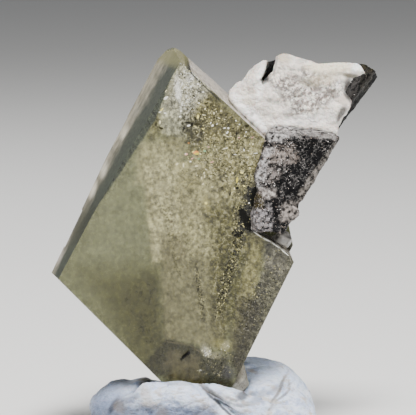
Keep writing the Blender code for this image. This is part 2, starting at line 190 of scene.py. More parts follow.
def ramp_between(tree, value, low, high, to_low=0.0, to_high=1.0):
    """A smooth step of a value from one range to another."""
    step = node(
        tree, "ShaderNodeMapRange", {"interpolation_type": "SMOOTHSTEP"},
        {"Value": value, "From Min": low, "From Max": high, "To Min": to_low, "To Max": to_high},
    )
    return step.outputs["Result"]


def mix_colours(tree, share, first, second, blend="MIX"):
    """Two colours mixed by a share."""
    step = node(
        tree, "ShaderNodeMix", {"data_type": "RGBA", "blend_type": blend},
        {0: share, 6: first, 7: second},
    )
    return step.outputs[2]


def scaled(tree, vector, factor):
    """A vector times a number."""
    step = node(tree, "ShaderNodeVectorMath", {"operation": "SCALE"}, {0: vector, "Scale": factor})
    return step.outputs[0]


def noise_of(tree, place, scale, detail, roughness, output="Fac"):
    """A cloudy noise's value or colour."""
    step = node(
        tree, "ShaderNodeTexNoise", {},
        {"Vector": place, "Scale": scale, "Detail": detail, "Roughness": roughness},
    )
    return step.outputs[output]


def wandering(tree, place, scale, detail, roughness, amount):
    """A noisy shift around zero that makes a border ragged."""
    cloud = noise_of(tree, place, scale, detail, roughness, "Color")
    return scaled(tree, vector_step(tree, "SUBTRACT", cloud, (0.5, 0.5, 0.5)), amount)


def turned_about_y(tree, vector, angle):
    """A vector turned about the model's Y."""
    step = node(
        tree, "ShaderNodeVectorRotate", {"rotation_type": "Y_AXIS"}, {"Vector": vector, "Angle": angle},
    )
    return step.outputs[0]


def coordinate(tree, place, axis):
    """One coordinate of a place."""
    return node(tree, "ShaderNodeSeparateXYZ", {}, {0: place}).outputs[axis]


def millimetres(tree):
    """The surface's place in the model's own millimetres."""
    return scaled(tree, node(tree, "ShaderNodeTexCoord").outputs["Object"], 1000.0)


def new_group(name, inputs, outputs):
    """A shader node group with named sockets, and its input and output nodes."""
    group = bpy.data.node_groups.new(name, "ShaderNodeTree")
    for label, kind, value in inputs:
        socket = group.interface.new_socket(label, in_out="INPUT", socket_type=kind)
        if value is not None:
            socket.default_value = value
    for label, kind in outputs:
        group.interface.new_socket(label, in_out="OUTPUT", socket_type=kind)
    entry = group.nodes.new("NodeGroupInput")
    leave = group.nodes.new("NodeGroupOutput")
    return group, entry.outputs, leave.inputs


def use_group(tree, group, inputs):
    """Place a node group in a material with its own values."""
    item = node(tree, "ShaderNodeGroup", {"node_tree": group}, inputs)
    return item.outputs


def make_patch_group():
    """A soft-edged ragged oval in the X-Z plane, or an egg where its size in Y is small."""
    group, given, result = new_group(
        "ragged_patch",
        [("Place", "NodeSocketVector", None), ("Centre", "NodeSocketVector", (0, 0, 0)),
         ("Half Size", "NodeSocketVector", (1, 1, 1)), ("Turn", "NodeSocketFloat", 0.0),
         ("Softness", "NodeSocketFloat", 0.4), ("Raggedness", "NodeSocketFloat", 0.3),
         ("Grain", "NodeSocketFloat", 0.5)],
        [("Mask", "NodeSocketFloat")],
    )
    shift = vector_step(group, "SUBTRACT", given["Place"], given["Centre"])
    turned = turned_about_y(group, shift, given["Turn"])
    shares = vector_step(group, "DIVIDE", turned, given["Half Size"])
    wobble = wandering(group, given["Place"], given["Grain"], 4.0, 0.65, given["Raggedness"])
    reach = vector_step(group, "LENGTH", vector_step(group, "ADD", shares, wobble))
    outer = calculate(group, "ADD", 1.0, given["Softness"])
    inner = calculate(group, "SUBTRACT", 1.0, given["Softness"])
    group.links.new(ramp_between(group, reach, outer, inner), result["Mask"])
    return group


def make_sector_group():
    """A growth sector: the region on the inner side of four lines in the X-Z plane."""
    given_sockets = [("Place", "NodeSocketVector", None)]
    for side in range(1, 5):
        given_sockets.append((f"Normal {side}", "NodeSocketVector", (1, 0, 0)))
        given_sockets.append((f"Offset {side}", "NodeSocketFloat", 0.0))
    given_sockets.append(("Softness", "NodeSocketFloat", 0.3))
    given_sockets.append(("Raggedness", "NodeSocketFloat", 0.5))
    group, given, result = new_group("growth_sector", given_sockets, [("Mask", "NodeSocketFloat")])
    wobble = wandering(group, given["Place"], 0.7, 5.0, 0.75, given["Raggedness"])
    place = vector_step(group, "ADD", given["Place"], wobble)
    mask = 1.0
    outside = calculate(group, "MULTIPLY", given["Softness"], -1.0)
    for side in range(1, 5):
        along = vector_step(group, "DOT_PRODUCT", place, given[f"Normal {side}"])
        depth = calculate(group, "SUBTRACT", given[f"Offset {side}"], along)
        inside = ramp_between(group, depth, outside, given["Softness"])
        mask = calculate(group, "MINIMUM", mask, inside)
    group.links.new(mask, result["Mask"])
    return group


def make_speck_group():
    """Small scattered specks, as a mask."""
    group, given, result = new_group(
        "specks",
        [("Place", "NodeSocketVector", None), ("Scale", "NodeSocketFloat", 3.0),
         ("Amount", "NodeSocketFloat", 0.3), ("Radius", "NodeSocketFloat", 0.3)],
        [("Mask", "NodeSocketFloat")],
    )
    cells = node(
        group, "ShaderNodeTexVoronoi", {"feature": "F1"},
        {"Vector": given["Place"], "Scale": given["Scale"], "Randomness": 1.0},
    )
    parts = node(group, "ShaderNodeSeparateColor", {}, {0: cells.outputs["Color"]})
    chosen = calculate(group, "LESS_THAN", parts.outputs[0], given["Amount"])
    inside = ramp_between(group, cells.outputs["Distance"], given["Radius"], 0.0)
    group.links.new(calculate(group, "MULTIPLY", chosen, inside), result["Mask"])
    return group


def make_net_group():
    """A fine net of curved bright threads."""
    group, given, result = new_group(
        "frost_net",
        [("Place", "NodeSocketVector", None), ("Scale", "NodeSocketFloat", 3.0),
         ("Width", "NodeSocketFloat", 0.12)],
        [("Mask", "NodeSocketFloat")],
    )
    bend = noise_of(group, given["Place"], 2.2, 3.0, 0.6, "Color")
    moved = node(
        group, "ShaderNodeVectorMath", {"operation": "MULTIPLY_ADD"},
        {0: bend, 1: (0.7, 0.7, 0.7), 2: given["Place"]},
    ).outputs[0]
    cells = node(
        group, "ShaderNodeTexVoronoi", {"feature": "DISTANCE_TO_EDGE"},
        {"Vector": moved, "Scale": given["Scale"], "Randomness": 1.0},
    ).outputs["Distance"]
    group.links.new(ramp_between(group, cells, given["Width"], 0.0), result["Mask"])
    return group


def make_mottle_group():
    """Cloudy mottling around one half."""
    group, given, result = new_group(
        "mottle",
        [("Place", "NodeSocketVector", None), ("Stretch", "NodeSocketVector", (1, 1, 1)),
         ("Scale", "NodeSocketFloat", 1.0), ("Contrast", "NodeSocketFloat", 1.0)],
        [("Value", "NodeSocketFloat")],
    )
    stretched = vector_step(group, "MULTIPLY", given["Place"], given["Stretch"])
    cloud = noise_of(group, stretched, given["Scale"], 6.0, 0.62)
    around = calculate(group, "SUBTRACT", cloud, 0.5)
    value = calculate(group, "ADD", calculate(group, "MULTIPLY", around, given["Contrast"]), 0.5)
    clamped = node(group, "ShaderNodeClamp", {}, {"Value": value}).outputs[0]
    group.links.new(clamped, result["Value"])
    return group


def start_material(name, values=None):
    """A new material with its tree and Principled shader, and the shader's constant values."""
    material = bpy.data.materials.new(name)
    material.use_nodes = True
    tree = material.node_tree
    shader = tree.nodes["Principled BSDF"]
    for label, value in (values or {}).items():
        shader.inputs[label].default_value = value
    return material, tree, shader


def plain_material(name, colour, roughness):
    """A material for the stage."""
    return start_material(name, {"Base Color": (*colour, 1), "Roughness": roughness})[0]


def bump(tree, shader, height, strength, distance):
    """Feed a height into the shader's normal."""
    step = node(
        tree, "ShaderNodeBump", {},
        {"Height": height, "Strength": strength, "Distance": distance},
    )
    tree.links.new(step.outputs["Normal"], shader.inputs["Normal"])


def mottle(tree, place, scale, contrast, stretch=(1, 1, 1)):
    """Cloudy mottling around one half."""
    inputs = {"Place": place, "Stretch": stretch, "Scale": scale, "Contrast": contrast}
    return use_group(tree, MOTTLE, inputs)["Value"]


def threads(tree, place, scale, width):
    """The mask of a net of fine curved threads."""
    return use_group(tree, NET, {"Place": place, "Scale": scale, "Width": width})["Mask"]


def sector(tree, place, corners, softness, raggedness, depth=FRONT_DEPTH):
    """The mask of a growth sector, from its corners in the picture."""
    return use_group(tree, SECTOR, sector_inputs(place, corners, softness, raggedness, depth))["Mask"]


def oval(tree, place, centre, half, turn, softness, raggedness):
    """The mask of a ragged oval on the front face, from its pixels."""
    return use_group(tree, PATCH, patch_inputs(place, centre, half, turn, softness, raggedness))["Mask"]


def painted(tree, colour, mask, strength, tint):
    """A colour with a tint laid over it under a mask."""
    return mix_colours(tree, calculate(tree, "MULTIPLY", mask, strength), colour, tint)


def with_ovals(tree, place, colour, ovals, softness, raggedness, limit=None):
    """A colour with a table of tinted ovals laid over it, all times a limit if there is one."""
    for centre, half, turn, tint, strength in ovals.values():
        mask = oval(tree, place, centre, half, math.radians(turn), softness, raggedness)
        if limit is not None:
            mask = calculate(tree, "MULTIPLY", mask, limit)
        colour = painted(tree, colour, mask, strength, srgb(*tint))
    return colour


# Herderite's colours

EDGE_LEAN = math.radians(29.9)
# the left side's painted dark reflection ends at this Y, in millimetres, fading over this far each way
SIDE_DARK_TO = -0.8
SIDE_FADE = 3.4
SMOOTH_GREEN = srgb(111, 112, 82)
SMOOTH_GRAIN = 0.22
APEX = ((146, 30), (200, 30), (188, 60), (156, 62))
EDGE_DARK_REFLECTION = [
    # corners in pixels of the strips of painted dark reflection on the front face beside the left ridge
    ((172, 76), (155, 120), (120, 172), (128, 92)),
    ((157, 116), (122, 170), (101, 201), (118, 112)),
]
SECTORS = {
    # name, four corners in pixels, colour, strength, softness and raggedness in millimetres, grain
    "left_light": (((100, 196), (142, 140), (146, 262), (84, 262)), (112, 114, 84), 0.6, 1.6, 1.6, 0.28),
    "low_left_shade": (
        ((80, 270), (160, 262), (168, 350), (140, 385)), (64, 63, 30), 0.75, 2.4, 1.8, 0.3,
    ),
    "low_middle": (((118, 290), (160, 270), (168, 345), (146, 372)), (54, 52, 24), 0.6, 1.6, 1.6, 0.4),
    "cream_heart": (
        ((145, 172), (268, 138), (262, 250), (152, 262)), (136, 131, 94), 0.85, 0.25, 0.8, 0.5,
    ),
    "cream_upper": (
        ((140, 142), (186, 138), (176, 180), (136, 182)), (146, 142, 104), 0.85, 0.7, 1.6, 0.4,
    ),
    "cream_edge": (((144, 166), (172, 160), (182, 226), (156, 262)), (156, 152, 114), 0.6, 0.9, 2.0, 0.5),
    "pale_tongue": (
        ((160, 236), (222, 236), (226, 352), (165, 340)), (108, 104, 74), 0.85, 0.5, 1.4, 0.4,
    ),
    "olive_right": (((204, 206), (268, 196), (258, 300), (216, 350)), (70, 67, 30), 0.85, 1.2, 2.2, 0.6),
    "pale_mid": (((186, 224), (214, 224), (212, 256), (188, 256)), (142, 138, 98), 0.65, 0.9, 2.2, 0.5),
    "olive_top": (((184, 96), (210, 88), (266, 140), (190, 150)), (94, 88, 52), 0.9, 1.1, 2.8, 0.62),
    "olive_low": (((226, 128), (264, 128), (262, 150), (226, 152)), (84, 78, 42), 0.6, 1.0, 2.4, 0.7),
    "olive_mid": (((188, 144), (262, 136), (262, 176), (196, 176)), (120, 115, 76), 0.6, 1.3, 2.6, 0.7),
    "speckled_low": (((214, 160), (262, 160), (256, 198), (218, 198)), (104, 99, 62), 0.6, 1.0, 2.4, 0.8),
    "quiet_olive": (((184, 170), (204, 176), (200, 196), (180, 196)), (108, 104, 68), 0.5, 0.9, 1.6, 0.4),
    "dark_core": (((184, 120), (200, 116), (204, 142), (184, 144)), (36, 34, 18), 0.75, 0.6, 2.6, 0.7),
    "olive_shoulder": (
        ((148, 118), (164, 112), (168, 136), (148, 138)), (92, 87, 50), 0.65, 0.7, 2.0, 0.6,
    ),
    "olive_neck": (((168, 130), (184, 130), (182, 148), (168, 148)), (98, 94, 62), 0.6, 0.7, 1.8, 0.5),
    "veil_top": (((160, 108), (180, 60), (214, 88), (182, 126)), (146, 143, 124), 0.8, 0.6, 2.6, 0.7),
    "veil_strip": (
        ((162, 106), (184, 112), (184, 136), (162, 132)), (150, 149, 124), 0.75, 0.6, 2.0, 0.6,
    ),
    "yellow_band": (
        ((252, 236), (265, 240), (247, 352), (229, 352)), (128, 123, 80), 0.65, 0.5, 1.6, 0.5,
    ),
    "grey_right": (((270, 250), (300, 250), (240, 392), (234, 362)), (68, 66, 52), 0.9, 0.25, 1.2, 0.55),
    "right_light": (((265, 240), (290, 246), (286, 284), (264, 268)), (92, 89, 77), 0.7, 0.5, 1.4, 0.55),
    "right_dark": (((265, 240), (280, 245), (280, 256), (267, 256)), (50, 49, 39), 0.6, 0.5, 1.8, 0.6),
    "right_low": (((240, 296), (264, 306), (238, 380), (228, 360)), (42, 39, 26), 0.8, 0.7, 1.4, 0.4),
    # the foot: darker olive-brown, partly painted shade where it meets the putty
    "foot": (((166, 338), (226, 358), (236, 396), (140, 372)), (38, 36, 22), 0.85, 0.35, 1.2, 0.34),
    "foot_wedge": (((170, 350), (200, 358), (197, 370), (162, 368)), (84, 79, 56), 0.75, 0.4, 1.0, 0.25),
    "foot_tan": (((172, 368), (200, 368), (204, 392), (160, 392)), (86, 80, 48), 0.6, 1.0, 1.6, 0.35),
    "beside_schorl": (((246, 186), (266, 180), (264, 232), (242, 234)), (16, 15, 8), 0.9, 0.6, 2.6, 0.5),
    "black_pocket": (((248, 188), (262, 184), (262, 208), (248, 206)), (4, 4, 2), 0.95, 0.3, 1.2, 0.3),
    "black_streak_low": (
        ((242, 208), (252, 206), (248, 230), (236, 236)), (8, 8, 5), 0.85, 0.4, 1.8, 0.5,
    ),
}
SPECK_PATCHES = {
    # name, centre and half size in pixels, turn in degrees, speck colour, share of the patch
    "brown_pits": ((177, 236), (4, 52), 14, (70, 58, 34), 0.57),
    "black_streak": ((200, 293), (4, 32), 8, (34, 33, 24), 0.54),
    "schorl_chain": ((238, 250), (8, 60), -16, (36, 35, 26), 0.54),
    "grey_border": ((256, 305), (6, 56), -26, (56, 54, 44), 0.56),
    "top_shadow": ((186, 124), (8, 16), 0, (60, 58, 42), 0.50),
    "top_shadow_right": ((216, 122), (22, 10), 0, (70, 66, 44), 0.52),
    "pale_top": ((186, 84), (12, 24), -8, (222, 222, 208), 0.54),
    "foot_flecks": ((214, 370), (16, 10), 0, (178, 170, 134), 0.62),
}
FLARES = {
    # name, centre and half size in pixels, turn in degrees, colour and strength
    # foot_flare, foot_flare_side, right_spot, top_white, yellow_glow and cream_glow are painted highlights
    "foot_flare": ((206, 352), (4, 6), 24, (186, 182, 156), 0.5),
    "foot_flare_side": ((216, 357), (6, 3), 0, (150, 146, 116), 0.6),
    "foot_yellow": ((222, 346), (9, 5), -30, (132, 127, 78), 0.6),
    "right_spot": ((226, 347), (3, 4), -20, (176, 172, 140), 0.4),
    "grey_glass": ((229, 374), (5, 7), 30, (66, 66, 68), 0.7),
    "top_white": ((178, 88), (2.6, 11), 6, (230, 229, 220), 0.85),
    "top_left_olive": ((170, 90), (3, 10), -18, (120, 118, 96), 0.5),
    "top_white_band": ((192, 76), (8, 3), 40, (212, 212, 204), 0.6),
    "yellow_glow": ((180, 166), (7, 4), 0, (178, 172, 124), 0.6),
    "cream_glow": ((196, 167), (6, 3), 10, (172, 167, 130), 0.5),
    "cream_bar": ((162, 186), (12, 5), 24, (160, 156, 118), 0.5),
    "yellow_streak": ((206, 204), (3, 8), 10, (160, 152, 96), 0.5),
}
LINES = {
    # name, ends in pixels, half width in pixels, colour and strength
    "top_border": (((188, 64), (228, 101)), 1.8, (170, 164, 155), 0.75),
    "top_crack": (((183.5, 61), (193.5, 75.5)), 1.0, (30, 31, 27), 0.95),
    "top_crack_mid": (((192.5, 74), (205.5, 87)), 1.0, (36, 36, 31), 0.95),
    "top_crack_end": (((204.5, 86), (222, 102)), 0.9, (40, 40, 34), 0.9),
    "wedge_border": (((166, 342), (190, 346)), 0.8, (92, 86, 62), 0.6),
    "wedge_border_end": (((188, 345), (206, 357)), 0.8, (88, 82, 60), 0.6),
}
SPECK_GRAIN = 3.4
DARK_SPECK = 0.2


def sector_inputs(place, corners, softness, raggedness, depth=FRONT_DEPTH):
    """The four border lines of a sector, from its corners in the picture."""
    inputs = {"Place": place, "Softness": softness, "Raggedness": raggedness}
    spots = [seen_at(*corner, depth) / MM for corner in corners]
    middle = sum(spots, Vector()) / len(spots)
    for side in range(4):
        first = spots[side]
        second = spots[(side + 1) % 4]
        normal = Vector((second.z - first.z, 0, first.x - second.x)).normalized()
        if normal.dot(middle - first) > 0:
            normal = -normal
        inputs[f"Normal {side + 1}"] = normal
        inputs[f"Offset {side + 1}"] = normal.dot(Vector((first.x, 0, first.z)))
    return inputs


def patch_inputs(place, centre, half, turn, softness, raggedness, depth=FRONT_DEPTH):
    """A ragged oval's place and size, from its pixels."""
    middle = seen_at(*centre, depth) / MM
    return {
        "Place": place, "Centre": (middle.x, 0, middle.z),
        "Half Size": (half[0] * PIXEL / MM, 1e4, half[1] * PIXEL / MM),
        "Turn": turn, "Softness": softness, "Raggedness": raggedness, "Grain": 0.8,
    }


def varied(tree, colour, height, amount):
    """A colour made lighter and darker by a mottle around one half."""
    swing = calculate(tree, "MULTIPLY", calculate(tree, "SUBTRACT", height, 0.5), 2.0)
    return scaled(tree, colour, calculate(tree, "ADD", calculate(tree, "MULTIPLY", swing, amount), 1.0))


def herderite_colour(tree, place, base):
    """The body colour: growth sectors, clouds, grain, clusters of specks and fine lines."""
    darker = (base[0] * 0.84, base[1] * 0.86, base[2] * 0.8, 1)
    colour = mix_colours(tree, mottle(tree, place, 0.35, 2.0), base, darker)
    grain = SMOOTH_GRAIN
    for corners, tint, strength, softness, raggedness, sector_grain in SECTORS.values():
        mask = sector(tree, place, corners, softness, raggedness)
        share = calculate(tree, "MULTIPLY", mask, strength)
        colour = mix_colours(tree, share, colour, srgb(*tint))
        step = calculate(tree, "MULTIPLY", calculate(tree, "SUBTRACT", sector_grain, grain), share)
        grain = calculate(tree, "ADD", grain, step)
    cloud = mottle(tree, place, 0.8, 3.0, (1.9, 1.9, 0.9))
    colour = varied(tree, colour, cloud, calculate(tree, "MULTIPLY", grain, 0.8))
    fine = mottle(tree, place, 2.3, 4.5)
    colour = varied(tree, colour, fine, grain)
    net = threads(tree, place, 1.7, 0.13)
    bright = calculate(tree, "MULTIPLY", net, ramp_between(tree, grain, 0.3, 0.9, 0.0, 0.6))
    bright = calculate(tree, "MULTIPLY", bright, ramp_between(tree, fine, 0.45, 0.8))
    colour = mix_colours(tree, bright, colour, srgb(222, 217, 184))
    colour = specked(tree, place, colour)
    colour = with_ovals(tree, place, colour, FLARES, 0.6, 0.7)
    # strips of painted dark reflection beside the left ridge
    return with_dark_reflection(tree, place, lined(tree, place, colour))


def specked(tree, place, colour):
    """The clusters of dark and pale specks."""
    spots = noise_of(tree, place, SPECK_GRAIN, 3.0, 0.7)
    for centre, half, turn, shade, share in SPECK_PATCHES.values():
        tint = srgb(*shade)
        mask = oval(tree, place, centre, half, math.radians(turn), 0.5, 0.9)
        if tint[0] < DARK_SPECK:
            chosen = ramp_between(tree, spots, 1.0 - share, 0.95 - share)
        else:
            chosen = ramp_between(tree, spots, share, share + 0.05)
        colour = painted(tree, colour, mask, chosen, tint)
    return colour


def with_dark_reflection(tree, place, colour):
    """The strips of painted dark reflection beside the left ridge, on the front half only."""
    in_front = ramp_between(tree, coordinate(tree, place, "Y"), 0.0, -2.0)
    streaks = dark_reflection_streaks(tree, along_edge(tree, place))
    for corners in EDGE_DARK_REFLECTION:
        colour = painted(tree, colour, sector(tree, place, corners, 0.12, 0.35), in_front, streaks)
    return colour


def lined(tree, place, colour):
    """The fine cracks and edge lines, each a very thin oval."""
    for (start, end), half_width, tint, strength in LINES.values():
        across = end[0] - start[0]
        down = end[1] - start[1]
        centre = (start[0] + across / 2, start[1] + down / 2)
        half = (half_width, math.hypot(across, down) / 2)
        mask = oval(tree, place, centre, half, math.atan2(across, down), 0.35, 0.25)
        colour = painted(tree, colour, mask, strength, srgb(*tint))
    return colour


def dark_reflection_streaks(tree, turned):
    """The painted dark reflection: dark green-grey streaks that run along the left ridge."""
    streak = mottle(tree, turned, 1.0, 2.4, (2.6, 2.6, 0.3))
    return mix_colours(tree, streak, srgb(18, 20, 16), srgb(74, 80, 66))


def along_edge(tree, place):
    """The place turned so that its Z runs along the crystal's long left edge."""
    return turned_about_y(tree, place, EDGE_LEAN)


SIDE_PATCHES = {
    # name, centre and half size in pixels, turn in degrees, depth and reach in Y, colour and strength
    # the flares are painted highlights; upper_dark, low_dark and low_core carry the painted dark reflection
    "upper_dark": ((160, 90), (5, 22), -26, -5, 5, (54, 58, 50), 0.7),
    "upper_pale": ((152, 84), (4, 20), -28, 4, 4, (128, 124, 106), 0.6),
    "flare_top": ((139, 109), (4, 9), -28, 5, 4.6, (176, 172, 158), 0.8),
    "flare_high": ((127, 131), (4.4, 9), -30, 5, 5, (226, 220, 198), 0.95),
    "grey_notch": ((115, 149), (5, 3.5), 0, 6, 5, (84, 84, 72), 0.6),
    "flare_mid": ((107, 168), (4.6, 9), -30, 5, 5.4, (218, 212, 194), 0.95),
    "flare_low": ((96, 189), (4.6, 9), -28, 5, 5.2, (236, 228, 208), 0.95),
    "low_dark": ((82, 224), (10, 22), -27, 2, 9, (62, 62, 46), 0.85),
    "low_core": ((90, 224), (7, 24), -27, -5, 5, (34, 36, 24), 0.75),
    "flare_foot": ((63, 255), (5, 9), -26, 5, 5, (176, 168, 158), 0.9),
    "foot_light": ((56, 270), (7, 6), -10, 4, 6, (120, 118, 96), 0.6),
}


def side_colour(tree, place, base):
    """The left side: painted dark reflection, streaky, by the front edge; pale and cloudy behind."""
    turned = along_edge(tree, place)
    cloud = mottle(tree, turned, 0.55, 2.6, (1.2, 1.0, 0.4))
    wander = calculate(tree, "MULTIPLY", calculate(tree, "SUBTRACT", cloud, 0.5), 2.0)
    depth = calculate(tree, "ADD", coordinate(tree, place, "Y"), wander)
    behind = ramp_between(tree, depth, SIDE_DARK_TO - SIDE_FADE, SIDE_DARK_TO + SIDE_FADE)
    pale = mix_colours(tree, cloud, srgb(84, 82, 64), base)
    colour = mix_colours(tree, behind, dark_reflection_streaks(tree, turned), pale)
    for centre, half, turn, y, reach, tint, strength in SIDE_PATCHES.values():
        inputs = patch_inputs(place, centre, half, math.radians(turn), 0.5, 0.7, y * MM)
        inputs["Centre"] = (inputs["Centre"][0], y, inputs["Centre"][2])
        inputs["Half Size"] = (inputs["Half Size"][0], reach, inputs["Half Size"][2])
        colour = painted(tree, colour, use_group(tree, PATCH, inputs)["Mask"], strength, srgb(*tint))
    return capped(tree, place, colour)


def capped(tree, place, colour):
    """The olive tint of the worn apex."""
    mask = sector(tree, place, APEX, 0.5, 0.8, SIDE_DEPTH)
    return painted(tree, colour, mask, 0.85, srgb(112, 110, 74))


def band_colour(tree, place, base):
    """The frosted band at the upper right, with grey grains."""
    cloud = mottle(tree, place, 0.7, 3.0)
    colour = mix_colours(tree, mottle(tree, place, 2.0, 5.0), srgb(92, 86, 76), base)
    colour = mix_colours(tree, ramp_between(tree, cloud, 0.5, 0.9, 0.0, 0.7), colour, srgb(150, 142, 122))
    return capped(tree, place, lined(tree, place, colour))


def herderite_material(name, base, transmission, roughness, specular, paint, relief):
    """Milky see-through stone: plain transmission, IOR and absorption under a zoned colour."""
    material, tree, shader = start_material(name, {
        "IOR": 1.6, "Transmission Weight": transmission, "Specular IOR Level": specular,
        "Subsurface Weight": 0.15, "Subsurface Radius": (1.0, 0.95, 0.6), "Subsurface Scale": 0.5 * MM,
    })
    place = millimetres(tree)
    tree.links.new(paint(tree, place, base), shader.inputs["Base Color"])
    grain = mottle(tree, place, 2.5, 1.6)
    gloss = ramp_between(tree, grain, 0.2, 0.9, roughness, roughness + 0.14)
    tree.links.new(gloss, shader.inputs["Roughness"])
    bump(tree, shader, grain, relief, 0.03 * MM)
    absorb = node(
        tree, "ShaderNodeVolumeAbsorption", {}, {"Color": (0.35, 0.35, 0.05, 1), "Density": 420.0},
    )
    tree.links.new(absorb.outputs["Volume"], tree.nodes["Material Output"].inputs["Volume"])
    return material


# Mesh helpers

def add_mesh(name, bm, materials, smooth=False):
    """Link a bmesh as an object with its materials."""
    mesh = bpy.data.meshes.new(name)
    bm.to_mesh(mesh)
    bm.free()
    for material in materials:
        mesh.materials.append(material)
    if smooth:
        mesh.shade_smooth()
    item = bpy.data.objects.new(name, mesh)
    bpy.context.scene.collection.objects.link(item)
    return item


def dress(item, slot, *nodes):
    """Let a piece ride on the part and stand for CAD nodes; the slot is not used."""
    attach(item, "root")
    if nodes:
        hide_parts(*nodes)


def copy_of(node_name):
    """A CAD node's mesh as a bmesh with its doubled corners welded."""
    bm = bmesh.new()
    bm.from_mesh(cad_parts[node_name].data)
    bmesh.ops.remove_doubles(bm, verts=bm.verts, dist=1e-6)
    return bm


def remeshed(bm, voxel):
    """The same form as an even skin of small faces."""
    item = add_mesh("skin", bm, [])
    step = item.modifiers.new("voxels", "REMESH")
    step.mode = "VOXEL"
    step.voxel_size = voxel
    graph = bpy.context.evaluated_depsgraph_get()
    mesh = bpy.data.meshes.new_from_object(item.evaluated_get(graph))
    bpy.data.objects.remove(item)
    skin = bmesh.new()
    skin.from_mesh(mesh)
    bpy.data.meshes.remove(mesh)
    skin.normal_update()
    return skin


def lumps(point, size, seed):
    """Smooth noise from -1 to 1, with lumps of a given size in millimetres."""
    return noise.noise(point / (size * MM) + Vector((seed, 1.7 * seed, -0.6 * seed)))


def neighbours(*node_names):
    """Search trees of the CAD nodes that a piece touches."""
    return [BVHTree.FromBMesh(copy_of(name)) for name in node_names]


def within_one(value):
    """A number kept from 0 to 1."""
    return max(0.0, min(1.0, value))


def swelling(point, trees):
    """Enough to close the clearance beside a neighbour, and little on the free sides."""
    near = min(tree.find_nearest(point)[3] for tree in trees) / MM
    return GROW * max(LEAST_GROWTH, within_one(1.0 - (near - GROW_NEAR) / GROW_FADE))


def push(bm, amount):
    """Move each vertex along its normal by a function of its place."""
    bm.normal_update()
    moves = [vert.normal * amount(vert) for vert in bm.verts]
    for vert, move in zip(bm.verts, moves):
        vert.co += move
    bm.normal_update()


# Pieces

TIP_DEPTH = 5.0 * MM
TIP_CUTS = [
    # a point in pixels on each worn face of the apex, and its lean in degrees to the right
    (165.5, 51.5, -46), (170.5, 48.2, -24), (175, 47.4, 4), (179.5, 50.2, 28),
]
WORN_BAND = [
    # pixel column and how far the frosted band is worn down there, in pixels
    (176, 0.0), (180, 0.6), (184, 0.8), (200, 0.4), (214, 0.0),
]


def trim(bm, point, outward):
    """Cut away what lies beyond a plane and close the cut."""
    parts = bm.verts[:] + bm.edges[:] + bm.faces[:]
    bmesh.ops.bisect_plane(bm, geom=parts, dist=1e-7, plane_co=point, plane_no=outward, clear_outer=True)
    bmesh.ops.holes_fill(bm, edges=[edge for edge in bm.edges if edge.is_boundary])


def on_band(normal):
    """Whether a face belongs to the frosted band at the upper right."""
    return normal.z > 0.5 and normal.x > 0.3 and abs(normal.y) < 0.3


def wear_band(bm):
    """Lower the frosted band a little beside the apex."""
    columns = [(seen_at(px, 60, TIP_DEPTH).x, drop * PIXEL) for px, drop in WORN_BAND]
    for x, _ in columns:
        parts = bm.verts[:] + bm.edges[:] + bm.faces[:]
        bmesh.ops.bisect_plane(bm, geom=parts, dist=1e-7, plane_co=(x, 0, 0), plane_no=(1, 0, 0))
    bm.normal_update()
    band = {vert for face in bm.faces if on_band(face.normal) for vert in face.verts}
    for vert in band:
        for (left, drop), (right, next_drop) in zip(columns, columns[1:]):
            if left - 1e-6 <= vert.co.x < right - 1e-6:
                share = (vert.co.x - left) / (right - left)
                depth = drop + (next_drop - drop) * share
                vert.co.z -= depth * (0.4 if vert.co.y < 0 else 1.0)


def build_herderite():
    """The crystal: the CAD's faces with softened edges, a worn apex and three finishes."""
    bm = copy_of("herderite_crystal")
    close_needle_pocket(bm)
    for px, py, lean in TIP_CUTS:
        outward = Vector((math.sin(math.radians(lean)), 0, math.cos(math.radians(lean))))
        trim(bm, seen_at(px, py, TIP_DEPTH), outward)
    wear_band(bm)
    bmesh.ops.dissolve_limit(bm, angle_limit=math.radians(0.4), verts=bm.verts, edges=bm.edges)
    edges = [edge for edge in bm.edges if edge.calc_face_angle(0) > math.radians(4)]
    bmesh.ops.bevel(
        bm, geom=edges, offset=SOFT_EDGE, segments=1, affect="EDGES", clamp_overlap=True, profile=0.5,
    )
    bmesh.ops.triangulate(bm, faces=bm.faces)
    crystal = add_mesh("herderite_body", bm, [HERDERITE, HERDERITE_SIDE, HERDERITE_FROSTED])
    for face in crystal.data.polygons:
        normal = face.normal
        if normal.x < -0.6:
            face.material_index = 1
        elif on_band(normal):
            face.material_index = 2
    dress(crystal, "herderite", "herderite_crystal")
    return crystal


def lay_fleck(bm, place, normal, size, aspect, tilt, slot, dice):
    """One small angular plate, a little raised in its middle."""
    lean = normal + Vector([dice.uniform(-tilt, tilt) for _ in range(3)])
    turn = lean.to_track_quat("Z", "Y").to_matrix()
    angle = dice.uniform(0, math.tau)
    long_way = turn @ Vector((math.cos(angle), math.sin(angle), 0))
    short_way = turn @ Vector((-math.sin(angle), math.cos(angle), 0))
    count = dice.randint(5, 7)
    rim = []
    for corner in range(count):
        around = math.tau * corner / count
        reach = size * dice.uniform(0.6, 1.0)
        spot = long_way * math.cos(around) * reach + short_way * math.sin(around) * reach / aspect
        rim.append(bm.verts.new(place + spot))
    peak = bm.verts.new(place + turn.col[2] * size * 0.12)
    for corner in range(count):
        face = bm.faces.new((rim[corner], rim[(corner + 1) % count], peak))
        face.material_index = slot


